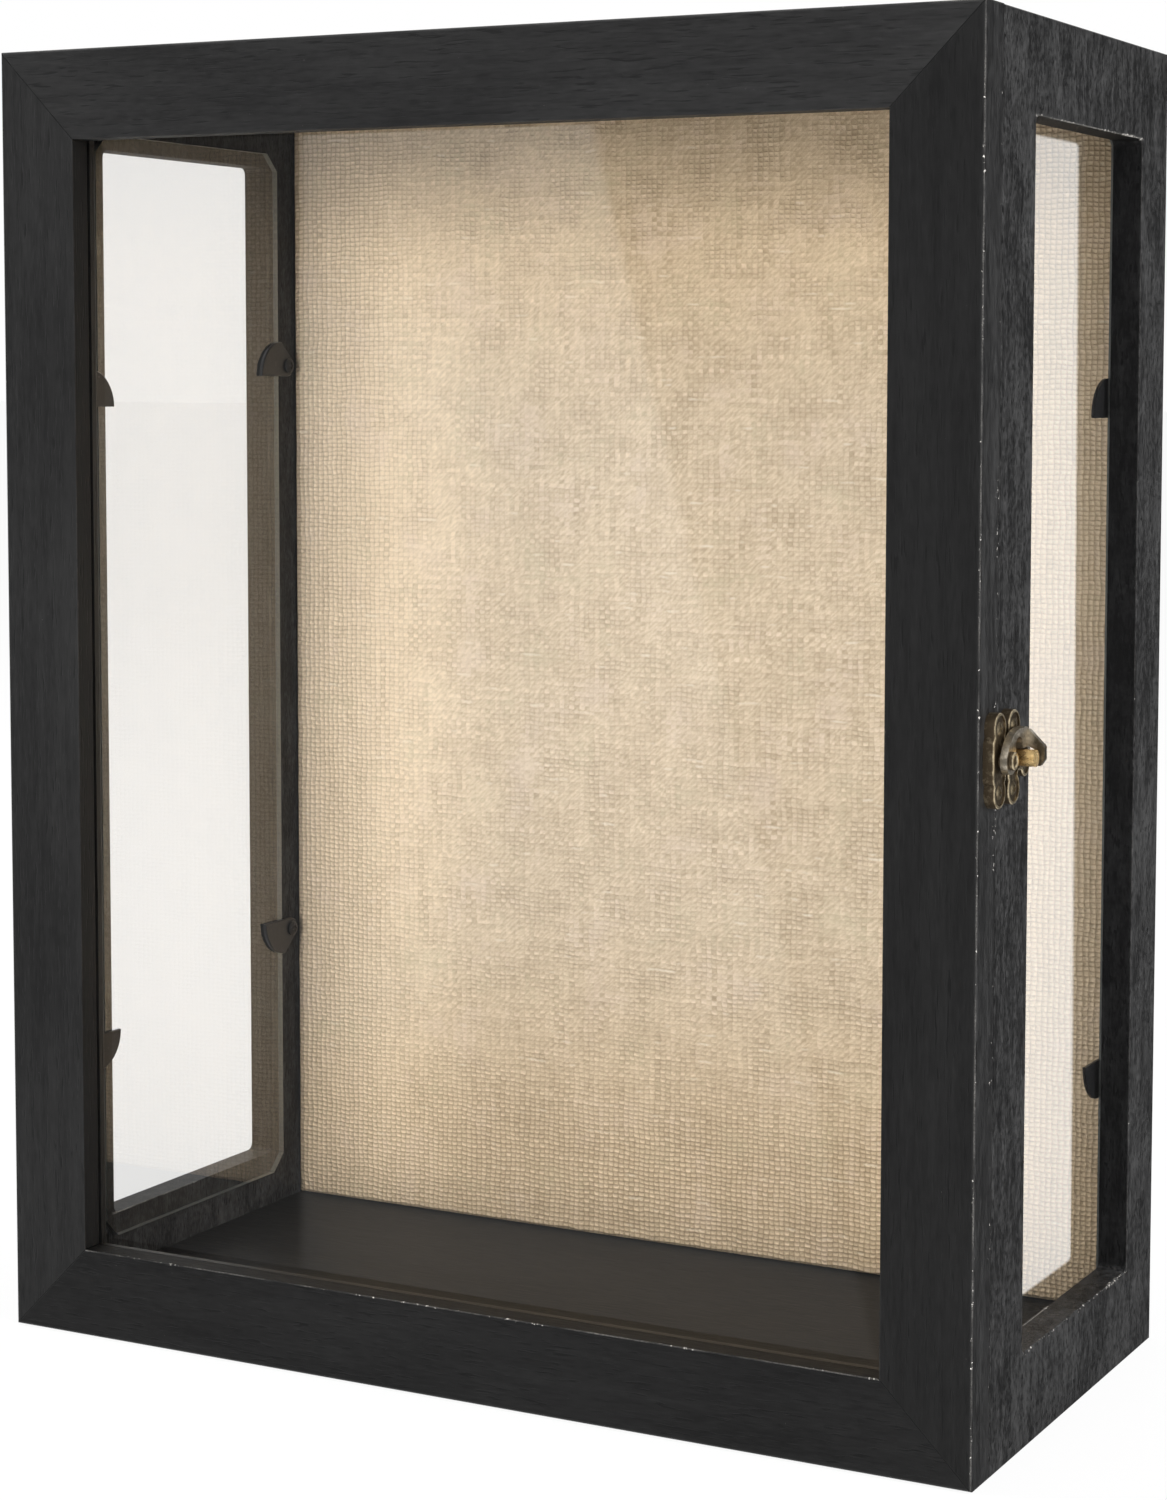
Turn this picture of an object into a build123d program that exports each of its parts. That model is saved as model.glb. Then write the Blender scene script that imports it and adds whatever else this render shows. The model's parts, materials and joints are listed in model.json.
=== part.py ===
"""Table-top display case for mounted butterflies.

A shallow wooden box with a glazed side on the left and on the right, a
linen-covered pinning back and a framed glass door. The door turns on two butt
hinges at its left edge and is held by a small swing latch on the right. Eight
turn clips hold the side panes against the inside of the walls.

The origin is the centre of the underside. +Z is up, +X is the latch side and
the door faces -Y. All sizes are in millimetres.
"""

import os

from build123d import *

os.makedirs("parts", exist_ok=True)

# ---- Screws ------------------------------------------------------------------
screw_point = 1.5  # length of a tapered screw or brad tip
screw_slot = 0.6  # width of a driver slot
screw_slot_depth = 0.45

# ---- Door -------------------------------------------------------------------
opening_width = 279.4  # what the door's glass shows: 11 by 14 inches
opening_height = 355.6
door_face_width = 28.2  # rails and stiles, seen from the front
door_thickness = 13.0
door_lip = 7.5  # wood in front of the glass
rebate_width = 6.0  # step behind the opening that the glass sits in
glass_thickness = 2.0
glass_clearance = 0.5  # glass edge to rebate, all round
bead_width = 5.2
door_foot_gap = 0.4  # keeps the door clear of the table
door_gap = 0.5  # closed door to case
mitre_dowel_radius = 2.5
mitre_dowel_length = 16.0
outer_round = 1.0  # worn outer edges
inner_round = 0.6

# ---- Case -------------------------------------------------------------------
case_depth = 142.0
wall = 9.5  # every board of the case
side_window_front_stile = 25.5  # wood of a side wall in front of its window
side_window_rear_stile = 24.0
side_window_radius = 2.5
dowel_radius = 2.5
dowel_depth_in_wall = 5.0
dowel_depth_in_board = 13.0
dowel_spacing = 48.0
dowels_per_joint = 3

# ---- Back -------------------------------------------------------------------
back_board_thickness = 3.0
back_rebate_width = 5.0
back_clearance = 0.5
pin_board_thickness = 3.7
linen_thickness = 0.8
lining_clearance = 0.3
brad_radius = 0.7
brad_head_radius = 1.5
brad_head_height = 0.4
brad_length = 12.0
brad_edge_margin = 2.5  # brads to the edge of the back board
brads_up_the_side = 4
brads_across = 3
brad_corner_margin = 30.0

# ---- Side panes and the clips that hold them ----------------------------------
pane_overlap = 5.0  # over the wall, in front of and behind the window
pane_end_overlap = 6.0  # above and below it
pane_corner_cut = 6.0
pane_forward_shift = 1.2
pane_drop = 1.2
clip_thickness = 1.2
clip_boss_radius = 3.8
clip_reach = 16.0  # screw to tip
clip_fan_radius = 12.3
clip_running_gap = 0.1  # clip to wall, and clip to screw head
clip_pane_gap = 0.2
clip_bore_clearance = 0.05
rear_clip_pane_gap = 0.3  # boss to the pane's rear edge
front_clip_setback = 5.0  # front screws stand this much further from the pane
clip_screw_radius = 1.25
clip_screw_head_radius = 2.6
clip_screw_head_height = 1.5
clip_screw_depth = 6.0
# The clips are set by hand: lower ones above the window's sill, upper ones below its head.
front_clip_above_sill = 59.4
front_clip_below_head = 80.4
left_rear_clip_above_sill = 81.2
left_rear_clip_below_head = 70.1
right_rear_clip_above_sill = 62.0
right_rear_clip_below_head = 82.0

# ---- Hinges -------------------------------------------------------------------
hinge_length = 26.0
hinge_margin = 60.0  # hinge middle to the top or bottom of the case
hinge_leaf_width = 8.0
hinge_leaf_thickness = 0.9
hinge_recess = 0.75
knuckle_radius = 2.0
knuckle_standoff = 0.2  # barrel to the side of the case
knuckle_gap = 0.15
hinge_pin_radius = 0.9
hinge_bore_clearance = 0.05
hinge_button_radius = 1.6  # rounded ends of the pin
hinge_button_height = 0.9
hinge_screw_radius = 1.0
hinge_screw_head_radius = 1.8
hinge_screw_length = 8.0
hinge_screw_spacing = 16.0

# ---- Latch ----------------------------------------------------------------------
latch_height = 205.2
plate_rise = 3.2  # dished plates stand this far off the wood
plate_sheet = 0.9
plate_rim_width = 0.8  # raised rim round each plate
plate_rim_height = 0.4
plate_lobe_radius = 4.5
plate_lobe_offset = 8.9  # screw to the middle of the plate
plate_body_height = 14.0
plate_corner = 2.6
plate_waist_round = 0.8  # rounding in the hollows of a plate's outline
plate_edge_round = 0.5
door_plate_width = 9.8
door_plate_margin = 0.25  # plate to the door's back edge
case_plate_neck = 6.8  # width of the case plate between its screws
case_plate_margin = 1.0  # plate to the case's front edge
case_plate_ear_radius = 3.0
case_plate_ear_setback = 9.4  # keeper stud to the ears' centres
case_plate_ear_spread = 3.5  # ears above and below the stud
pivot_setback = 3.4  # hook pivot to the door's back edge
hook_thickness = 2.1
hook_running_gap = 0.1
hook_eye_radius = 3.8
hook_bore_clearance = 0.05
rivet_radius = 1.6
rivet_washer_height = 1.0
rivet_washer_radius = 2.1
rivet_head_radius = 2.6
rivet_head_height = 1.1
rivet_head_edge = 0.3  # rounding of the head
rivet_dimple_radius = 1.7
rivet_dimple_depth = 0.4
arch_rise = 8.4  # top of the hook above its pivot
arch_peak = 8.4  # and how far behind the pivot it is
throat_clearance = 0.35  # stud to the edge of the hook that rests over it
throat_web = 0.9  # how far the hook covers the stud, short of the stud's axis
throat_width = 5.2  # opening under the hook's arch
throat_rise = 6.2  # top of that opening above the pivot
tab_thickness = 1.8
tab_clearance = 0.8  # thumb tab to the stud
hook_end_drop = 1.5  # end of the hook plate below the pivot, behind the stud
tab_reach = 5.0  # how far the thumb tab stands out past the hook
tab_drop = 2.5  # foot of the tab below the pivot
stud_setback = 9.0  # pivot to keeper stud
stud_radius = 2.4
stud_height = 7.4
stud_flange = 0.6
stud_dome = 0.4
stud_clearance = 0.5  # stud's flange to the plate's rim
latch_screw_radius = 1.0
latch_screw_head_radius = 2.0
latch_screw_head_height = 0.55
latch_screw_length = 9.0
latch_recess_span = 2.2  # arms of the cross in the screw heads

# ---- Derived sizes ----------------------------------------------------------------
case_width = opening_width + 2 * door_face_width
door_height = opening_height + 2 * door_face_width
case_height = door_height + door_foot_gap
total_depth = door_thickness + door_gap + case_depth
front_y = -total_depth / 2
door_back_y = front_y + door_thickness
case_front_y = door_back_y + door_gap
back_y = total_depth / 2
case_middle_y = (case_front_y + back_y) / 2
door_middle_z = door_foot_gap + door_height / 2
inside_width = case_width - 2 * wall
inside_height = case_height - 2 * wall
side_window_width = case_depth - side_window_front_stile - side_window_rear_stile
window_middle_y = back_y - side_window_rear_stile - side_window_width / 2
window_sill = door_middle_z - opening_height / 2
window_head = door_middle_z + opening_height / 2
linen_front_y = back_y - back_board_thickness - pin_board_thickness - linen_thickness

# =============================== DOOR ================================================


def frame_plane(side, inset=0.0, setback=0.0):
    """Plane of one door bar: X points inwards, Y to the back, Z along the bar."""
    inward = {"top": (0, 0, -1), "bottom": (0, 0, 1), "left": (1, 0, 0), "right": (-1, 0, 0)}[side]
    inward = Vector(*inward)
    along = inward.cross(Vector(0, 1, 0))
    half = door_height / 2 if side in ("top", "bottom") else case_width / 2
    origin = Vector(0, front_y + setback, door_middle_z) - inward * (half - inset)
    return Plane(origin=origin, x_dir=inward, z_dir=along)


def bar_length(side, inset=0.0):
    """Outer length of a door bar whose outer edge is `inset` inside the door."""
    return (case_width if side in ("top", "bottom") else door_height) - 2 * inset


def mitre_dowel_planes():
    """One plane per door corner, standing on the mitre with Z across it."""
    planes = []
    for end_x in (-1, 1):
        for end_z in (-1, 1):
            middle = door_face_width / 2
            origin = (
                end_x * (case_width / 2 - middle),
                front_y + door_thickness / 2,
                door_middle_z + end_z * (door_height / 2 - middle),
            )
            planes.append(Plane(origin=origin, x_dir=(0, 1, 0), z_dir=(end_x, 0, -end_z)))
    return planes


with BuildSketch() as door_section:
    with BuildLine():
        Polyline(
            (0, 0),
            (door_face_width, 0),
            (door_face_width, door_lip),
            (door_face_width - rebate_width, door_lip),
            (door_face_width - rebate_width, door_thickness),
            (0, door_thickness),
            close=True,
        )
    make_face()
    corners = door_section.vertices()
    fillet(corners.group_by(Axis.X)[0].sort_by(Axis.Y)[0], outer_round)
    fillet(door_section.vertices().sort_by(Axis.X)[-1:].sort_by(Axis.Y)[0], inner_round)

bead_height = door_thickness - door_lip - glass_thickness
with BuildSketch() as bead_section:
    Rectangle(bead_width, bead_height, align=(Align.MIN, Align.MIN))
    fillet(bead_section.vertices().group_by(Axis.X)[-1].sort_by(Axis.Y)[-1], bead_height / 2)


def mitred_bar(section, side, inset=0.0, setback=0.0):
    """A bar with the given section and 45 degree ends, on one side of the door."""
    plane = frame_plane(side, inset, setback)
    length = bar_length(side, inset)
    with BuildPart() as bar:
        with BuildSketch(plane):
            add(section.sketch)
        extrude(amount=length / 2, both=True)
        for end in (-1, 1):
            tip = plane.origin + plane.z_dir * (end * length / 2)
            split(bisect_by=Plane(tip, z_dir=plane.x_dir + plane.z_dir * end), keep=Keep.BOTTOM)
    return bar


with BuildPart() as mitre_dowel:
    Cylinder(mitre_dowel_radius, mitre_dowel_length)
    chamfer(mitre_dowel.edges().filter_by(GeomType.CIRCLE), 0.5)

with BuildPart() as hinge_screw_blank:
    with BuildSketch(Plane.XZ):
        with BuildLine():
            Polyline(
                (0, 0),
                (hinge_screw_head_radius, 0),
                (hinge_screw_radius, hinge_screw_radius - hinge_screw_head_radius),
                (hinge_screw_radius, screw_point - hinge_screw_length),
                (0, -hinge_screw_length),
                close=True,
            )
        make_face()
    revolve(axis=Axis.Z)

hinge_heights = {"lower": hinge_margin, "upper": case_height - hinge_margin}
hinge_axis_x = -case_width / 2 - knuckle_standoff - knuckle_radius
hinge_axis_y = door_back_y + door_gap / 2
door_leaf_face_y = door_back_y - hinge_recess + hinge_leaf_thickness
case_leaf_face_y = case_front_y + hinge_recess - hinge_leaf_thickness


def hinge_screw_planes(face_y, outward_y):
    """Screw places on the leaves whose face is at face_y, looking outward_y."""
    x = -case_width / 2 + hinge_leaf_width / 2
    return [
        Plane(origin=(x, face_y, height + step * hinge_screw_spacing / 2), z_dir=(0, outward_y, 0))
        for height in hinge_heights.values()
        for step in (-1, 1)
    ]


door_hinge_screws_at = hinge_screw_planes(door_leaf_face_y, 1)
case_hinge_screws_at = hinge_screw_planes(case_leaf_face_y, -1)

latch_plane = Plane.YZ.offset(case_width / 2)
plate_face = plate_rise - plate_rim_height  # sunk face of a plate, inside its rim
door_plate_y = door_back_y - door_plate_margin - door_plate_width / 2
door_lobe_y = door_back_y - door_plate_margin - plate_lobe_radius
case_plate_front = case_front_y + case_plate_margin
case_lobe_y = case_plate_front + plate_lobe_radius
pivot_y = door_back_y - pivot_setback
stud_y = pivot_y + stud_setback


def latch_screw_planes(lobe_y):
    """The two screw places of a latch plate, on its sunk face."""
    return [
        Plane(
            origin=(case_width / 2 + plate_face, lobe_y, latch_height + step * plate_lobe_offset),
            x_dir=(0, 1, 0),
            z_dir=(1, 0, 0),
        )
        for step in (-1, 1)
    ]


with BuildPart() as latch_screw_blank:
    with BuildSketch(Plane.XZ):
        with BuildLine():
            Polyline(
                (0, latch_screw_head_height),
                (0, -latch_screw_length),
                (latch_screw_radius, screw_point - latch_screw_length),
                (latch_screw_radius, 0),
                (latch_screw_head_radius, 0),
            )
            TangentArc((0, latch_screw_head_height), (latch_screw_head_radius, 0), tangent=(1, 0))
        make_face()
    revolve(axis=Axis.Z)



def door_bar(side):
    """A rail or stile of the door, bored for the dowels across its mitres."""
    with BuildPart() as bar:
        add(mitred_bar(door_section, side).part)
        with Locations(*mitre_dowel_planes()):
            Cylinder(mitre_dowel_radius, mitre_dowel_length, mode=Mode.SUBTRACT)
    return bar


door_top_rail = door_bar("top")
door_bottom_rail = door_bar("bottom")

with BuildPart() as door_left_stile:
    add(door_bar("left").part)
    with Locations(*[(-case_width / 2, door_back_y, height) for height in hinge_heights.values()]):
        Box(2 * hinge_leaf_width, 2 * hinge_recess, hinge_length, mode=Mode.SUBTRACT)
    with Locations(*door_hinge_screws_at):
        add(hinge_screw_blank.part, mode=Mode.SUBTRACT)

with BuildPart() as door_right_stile:
    add(door_bar("right").part)
    with Locations(*latch_screw_planes(door_lobe_y)):
        add(latch_screw_blank.part, mode=Mode.SUBTRACT)

with BuildPart() as door_dowels:
    with Locations(*mitre_dowel_planes()):
        add(mitre_dowel.part)

bead_inset = door_face_width - rebate_width
bead_setback = door_lip + glass_thickness
bead_top = mitred_bar(bead_section, "top", bead_inset, bead_setback)
bead_bottom = mitred_bar(bead_section, "bottom", bead_inset, bead_setback)
bead_left = mitred_bar(bead_section, "left", bead_inset, bead_setback)
bead_right = mitred_bar(bead_section, "right", bead_inset, bead_setback)

with BuildPart() as door_glass:
    with BuildSketch(Plane.XZ.offset(-front_y - door_lip)):
        with Locations((0, door_middle_z)):
            Rectangle(
                opening_width + 2 * (rebate_width - glass_clearance),
                opening_height + 2 * (rebate_width - glass_clearance),
            )
    extrude(amount=-glass_thickness)

# =============================== CASE ================================================


def case_joint_planes(side, level):
    """Dowel places of one corner of the case; Z points out through the wall."""
    z = wall / 2 if level == "bottom" else case_height - wall / 2
    start = -(dowels_per_joint - 1) / 2
    return [
        Plane(
            origin=(side * (case_width / 2 - wall), case_middle_y + (start + i) * dowel_spacing, z),
            z_dir=(side, 0, 0),
        )
        for i in range(dowels_per_joint)
    ]


all_case_joints = [
    plane for side in (-1, 1) for level in ("bottom", "top") for plane in case_joint_planes(side, level)
]

with BuildPart() as case_dowel:
    with BuildSketch(Plane.XY.offset(-dowel_depth_in_board)):
        Circle(dowel_radius)
    extrude(amount=dowel_depth_in_board + dowel_depth_in_wall)
    chamfer(case_dowel.edges().filter_by(GeomType.CIRCLE), 0.5)

with BuildPart() as case_dowel_bore:
    with BuildSketch(Plane.XY.offset(-dowel_depth_in_board)):
        Circle(dowel_radius)
    extrude(amount=dowel_depth_in_board + dowel_depth_in_wall)

with BuildPart() as back_rebate:
    with BuildSketch(Plane.XZ.offset(-back_y)):
        with Locations((0, case_height / 2)):
            Rectangle(
                inside_width + 2 * back_rebate_width,
                inside_height + 2 * back_rebate_width,
            )
    extrude(amount=back_board_thickness)

back_board_width = inside_width + 2 * (back_rebate_width - back_clearance)
back_board_height = inside_height + 2 * (back_rebate_width - back_clearance)


def brad_places():
    """Brad places round the back board, their Z pointing out of the back."""
    half_width = back_board_width / 2 - brad_edge_margin
    half_height = back_board_height / 2 - brad_edge_margin
    run_up = case_height - 2 * brad_corner_margin
    run_across = case_width - 2 * brad_corner_margin
    places = []
    for i in range(brads_up_the_side):
        z = brad_corner_margin + run_up * i / (brads_up_the_side - 1)
        places += [(-half_width, z), (half_width, z)]
    for i in range(brads_across):
        x = -run_across / 2 + run_across * (i + 0.5) / brads_across
        places += [(x, case_height / 2 - half_height), (x, case_height / 2 + half_height)]
    return [Plane(origin=(x, back_y, z), z_dir=(0, 1, 0)) for x, z in places]


with BuildPart() as brad:
    with BuildSketch(Plane.XZ):
        with BuildLine():
            Polyline(
                (0, 0),
                (brad_head_radius, 0),
                (brad_head_radius, -brad_head_height),
                (brad_radius, -2 * brad_head_height),
                (brad_radius, screw_point - brad_length),
                (0, -brad_length),
                close=True,
            )
        make_face()
    revolve(axis=Axis.Z)

# ---- Turn clips: where they are -------------------------------------------------------
clip_drop = clip_boss_radius  # the clip's flat edge is level with the edge of its boss
front_clip_heights = {
    "lower": window_sill + front_clip_above_sill,
    "upper": window_head - front_clip_below_head,
}
clip_heights = {
    ("left", "front"): front_clip_heights,
    ("right", "front"): front_clip_heights,
    ("left", "rear"): {
        "lower": window_sill + left_rear_clip_above_sill,
        "upper": window_head - left_rear_clip_below_head,
    },
    ("right", "rear"): {
        "lower": window_sill + right_rear_clip_above_sill,
        "upper": window_head - right_rear_clip_below_head,
    },
}
pane_front_y = window_middle_y - side_window_width / 2 - pane_overlap - pane_forward_shift
pane_rear_y = window_middle_y + side_window_width / 2 + pane_overlap - pane_forward_shift
rear_clip_y = pane_rear_y + rear_clip_pane_gap + clip_boss_radius
front_clip_y = pane_front_y - rear_clip_pane_gap - clip_boss_radius - front_clip_setback


def clip_plane(wall_side, row, level):
    """Plane on the inside of a wall at a clip's screw; X points over the pane."""
    inward = 1 if wall_side == "left" else -1
    towards_pane = -1 if row == "rear" else 1
    y = rear_clip_y if row == "rear" else front_clip_y
    origin = (-inward * (case_width / 2 - wall), y, clip_heights[wall_side, row][level])
    return Plane(origin=origin, x_dir=(0, towards_pane, 0), z_dir=(inward, 0, 0))


clip_places = [
    (wall_side, row, level)
    for wall_side in ("left", "right")
    for row in ("front", "rear")
    for level in ("lower", "upper")
]

with BuildPart() as clip_screw_blank:
    head_seat = glass_thickness + clip_pane_gap + clip_thickness + clip_running_gap
    with BuildSketch(Plane.XZ):
        with BuildLine():
            Polyline(
                (0, head_seat + clip_screw_head_height),
                (0, -clip_screw_depth),
                (clip_screw_radius, screw_point - clip_screw_depth),
                (clip_screw_radius, head_seat),
                (clip_screw_head_radius, head_seat),
                (clip_screw_head_radius, head_seat + clip_screw_head_height * 0.4),
            )
            TangentArc(
                (0, head_seat + clip_screw_head_height),
                (clip_screw_head_radius, head_seat + clip_screw_head_height * 0.4),
                tangent=(1, 0),
            )
        make_face()
    revolve(axis=Axis.Z)


def side_wall(wall_side):
    """A full-height side board with its window and its rear rebate."""
    side = -1 if wall_side == "left" else 1
    outer_plane = Plane.YZ.offset(side * case_width / 2)
    with BuildPart() as board:
        with BuildSketch(outer_plane):
            with Locations((case_middle_y, case_height / 2)):
                Rectangle(case_depth, case_height)
            with Locations((window_middle_y, door_middle_z)):
                RectangleRounded(
                    side_window_width, opening_height, side_window_radius, mode=Mode.SUBTRACT
                )
        extrude(amount=-side * wall)
        outer_face = board.faces().sort_by(Axis.X)[-1 if side > 0 else 0]
        fillet(outer_face.edges(), inner_round)
        add(back_rebate.part, mode=Mode.SUBTRACT)
        joints = case_joint_planes(side, "bottom") + case_joint_planes(side, "top")
        with Locations(*joints):
            add(case_dowel_bore.part, mode=Mode.SUBTRACT)
        with Locations(*brad_places()):
            add(brad.part, mode=Mode.SUBTRACT)
        with Locations(*[clip_plane(*place) for place in clip_places if place[0] == wall_side]):
            add(clip_screw_blank.part, mode=Mode.SUBTRACT)
    return board


def cross_board(level):
    """The top or bottom board, set between the side walls."""
    z = 0 if level == "bottom" else case_height - wall
    with BuildPart() as board:
        with BuildSketch(Plane.XY.offset(z)):
            with Locations((0, case_middle_y)):
                Rectangle(inside_width, case_depth)
        extrude(amount=wall)
        outer_face = board.faces().sort_by(Axis.Z)[-1 if level == "top" else 0]
        fillet(outer_face.edges().filter_by(Axis.X), inner_round)
        add(back_rebate.part, mode=Mode.SUBTRACT)
        with Locations(*(case_joint_planes(-1, level) + case_joint_planes(1, level))):
            add(case_dowel_bore.part, mode=Mode.SUBTRACT)
        with Locations(*brad_places()):
            add(brad.part, mode=Mode.SUBTRACT)
    return board


with BuildPart() as case_left_wall:
    add(side_wall("left").part)
    with Locations(*[(-case_width / 2, case_front_y, height) for height in hinge_heights.values()]):
        Box(2 * hinge_leaf_width, 2 * hinge_recess, hinge_length, mode=Mode.SUBTRACT)
    with Locations(*case_hinge_screws_at):
        add(hinge_screw_blank.part, mode=Mode.SUBTRACT)

with BuildPart() as case_right_wall:
    add(side_wall("right").part)
    with Locations(*latch_screw_planes(case_lobe_y)):
        add(latch_screw_blank.part, mode=Mode.SUBTRACT)

case_bottom = cross_board("bottom")
case_top = cross_board("top")

with BuildPart() as case_dowels:
    with Locations(*all_case_joints):
        add(case_dowel.part)

# ---- Back ------------------------------------------------------------------------------
with BuildPart() as back_board:
    with BuildSketch(Plane.XZ.offset(-back_y)):
        with Locations((0, case_height / 2)):
            Rectangle(back_board_width, back_board_height)
    extrude(amount=back_board_thickness)
    with Locations(*brad_places()):
        add(brad.part, mode=Mode.SUBTRACT)

with BuildPart() as back_brads:
    with Locations(*brad_places()):
        add(brad.part)

lining_width = inside_width - 2 * lining_clearance
lining_height = inside_height - 2 * lining_clearance
with BuildPart() as pin_board:
    with BuildSketch(Plane.XZ.offset(-linen_front_y - linen_thickness)):
        with Locations((0, case_height / 2)):
            Rectangle(lining_width - 2 * linen_thickness, lining_height - 2 * linen_thickness)
    extrude(amount=-pin_board_thickness)

with BuildPart() as linen_lining:
    with BuildSketch(Plane.XZ.offset(-linen_front_y)):
        with Locations((0, case_height / 2)):
            Rectangle(lining_width, lining_height)
    extrude(amount=-(linen_thickness + pin_board_thickness))
    front_face = linen_lining.faces().sort_by(Axis.Y)[0]
    fillet(front_face.edges(), linen_thickness * 0.9)
    add(pin_board.part, mode=Mode.SUBTRACT)

# ---- Side panes --------------------------------------------------------------------------


def side_pane(wall_side):
    """A pane with its corners cut off, laid on the inside of a wall."""
    inward = 1 if wall_side == "left" else -1
    with BuildPart() as pane:
        with BuildSketch(Plane.YZ.offset(-inward * (case_width / 2 - wall))) as outline:
            with Locations(((pane_front_y + pane_rear_y) / 2, door_middle_z - pane_drop)):
                Rectangle(pane_rear_y - pane_front_y, opening_height + 2 * pane_end_overlap)
            chamfer(outline.vertices(), pane_corner_cut)
        extrude(amount=inward * glass_thickness)
    return pane


left_pane = side_pane("left")
right_pane = side_pane("right")

# ---- Turn clips ---------------------------------------------------------------------------


def turn_clip(wall_side, row, level):
    """A fan-shaped clip on a boss; its flat edge faces the middle of the wall."""
    plane = clip_plane(wall_side, row, level)
    away = (1 if level == "upper" else -1) * (1 if plane.y_dir.Z > 0 else -1)
    leaf_bottom = glass_thickness + clip_pane_gap
    fan_x = clip_reach - clip_fan_radius
    with BuildPart() as clip:
        with BuildSketch(plane.offset(leaf_bottom)):
            with BuildLine():
                tip = (clip_reach, -away * clip_drop)
                crown = (fan_x, away * (clip_fan_radius - clip_drop))
                Line((fan_x, -away * clip_drop), tip)
                RadiusArc(tip, crown, -away * clip_fan_radius)
                Line(crown, (fan_x, -away * clip_drop))
            make_face()
            Circle(clip_boss_radius)
            make_hull()
        extrude(amount=clip_thickness)
        with BuildSketch(plane.offset(clip_running_gap)):
            Circle(clip_boss_radius)
        extrude(amount=leaf_bottom - clip_running_gap)
        with BuildSketch(plane):
            Circle(clip_screw_radius + clip_bore_clearance)
        extrude(amount=leaf_bottom + clip_thickness, mode=Mode.SUBTRACT)
        top_face = clip.faces().filter_by(GeomType.PLANE).sort_by(Axis.X)
        top_face = top_face[-1] if wall_side == "left" else top_face[0]
        chamfer(top_face.outer_wire().edges(), 0.35)
    return clip


clips = {place: turn_clip(*place) for place in clip_places}

with BuildPart() as clip_screw:
    add(clip_screw_blank.part)
    with Locations((0, 0, head_seat + clip_screw_head_height)):
        Box(clip_screw_head_radius, screw_slot, 2 * screw_slot_depth, mode=Mode.SUBTRACT)
        Box(screw_slot, clip_screw_head_radius, 2 * screw_slot_depth, mode=Mode.SUBTRACT)

with BuildPart() as clip_screws:
    with Locations(*[clip_plane(*place) for place in clip_places]):
        add(clip_screw.part)

# =============================== HINGES ==============================================
knuckle_length = (hinge_length - 2 * knuckle_gap) / 3


def hinge_leaf(height, body):
    """One leaf of a butt hinge: the case has the outer knuckles, the door the middle one."""
    if body == "door":
        face_y, inwards, knuckles = door_leaf_face_y, -1, (0,)
        bore, screws_at = hinge_pin_radius + hinge_bore_clearance, door_hinge_screws_at
    else:
        face_y, inwards, knuckles = case_leaf_face_y, 1, (-1, 1)
        bore, screws_at = hinge_pin_radius, case_hinge_screws_at
    plate_y = face_y + inwards * hinge_leaf_thickness / 2
    pitch = knuckle_length + knuckle_gap
    with BuildPart() as leaf:
        with Locations((-case_width / 2 + hinge_leaf_width / 2, plate_y, height)):
            Box(hinge_leaf_width, hinge_leaf_thickness, hinge_length)
        with Locations(*[(hinge_axis_x, plate_y, height + step * pitch) for step in knuckles]):
            Box(
                -case_width / 2 - hinge_axis_x,
                hinge_leaf_thickness,
                knuckle_length,
                align=(Align.MIN, Align.CENTER, Align.CENTER),
            )
        with Locations(*[(hinge_axis_x, hinge_axis_y, height + step * pitch) for step in knuckles]):
            Cylinder(knuckle_radius, knuckle_length)
        with Locations((hinge_axis_x, hinge_axis_y, height)):
            Cylinder(bore, hinge_length, mode=Mode.SUBTRACT)
        with Locations(*[place for place in screws_at if abs(place.origin.Z - height) < hinge_length]):
            CounterSinkHole(hinge_screw_radius, hinge_screw_head_radius, counter_sink_angle=90)
    return leaf


hinge_leaves = {
    (name, body): hinge_leaf(height, body)
    for name, height in hinge_heights.items()
    for body in ("door", "case")
}


def hinge_pin(height):
    """A plain pin with a button at each end."""
    with BuildPart() as pin:
        with Locations((hinge_axis_x, hinge_axis_y, height)):
            Cylinder(hinge_pin_radius, hinge_length)
        for end in (-1, 1):
            with BuildSketch(
                Plane((hinge_axis_x, hinge_axis_y, height + end * hinge_length / 2), z_dir=(0, 0, end))
            ):
                Circle(hinge_button_radius)
            extrude(amount=hinge_button_height)
        buttons = pin.edges().filter_by(GeomType.CIRCLE).group_by(Axis.Z)
        fillet(buttons[0] + buttons[-1], hinge_button_height * 0.7)
    return pin


hinge_pins = {name: hinge_pin(height) for name, height in hinge_heights.items()}

with BuildPart() as hinge_screw:
    add(hinge_screw_blank.part)
    Box(2 * hinge_screw_head_radius, screw_slot, 2 * screw_slot_depth, mode=Mode.SUBTRACT)

with BuildPart() as hinge_door_screws:
    with Locations(*door_hinge_screws_at):
        add(hinge_screw.part)

with BuildPart() as hinge_case_screws:
    with Locations(*case_hinge_screws_at):
        add(hinge_screw.part)

# =============================== LATCH ===============================================


def dished_plate(outline, screws_at):
    """Press a plate from sheet: an outline raised off the wood, rimmed and open behind."""
    with BuildPart() as plate:
        with BuildSketch(latch_plane):
            add(outline.sketch)
        extrude(amount=plate_rise)
        fillet(plate.faces().sort_by(Axis.X)[-1].edges(), plate_edge_round)
        with BuildSketch(latch_plane):
            add(outline.sketch)
            offset(amount=-plate_sheet, mode=Mode.REPLACE)
        extrude(amount=plate_rise - plate_sheet, mode=Mode.SUBTRACT)
        with BuildSketch(latch_plane.offset(plate_face)):
            add(outline.sketch)
            offset(amount=-plate_rim_width, mode=Mode.REPLACE)
        extrude(amount=plate_rim_height, mode=Mode.SUBTRACT)
        with Locations(*screws_at):
            Hole(latch_screw_radius)
    return plate


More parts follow.
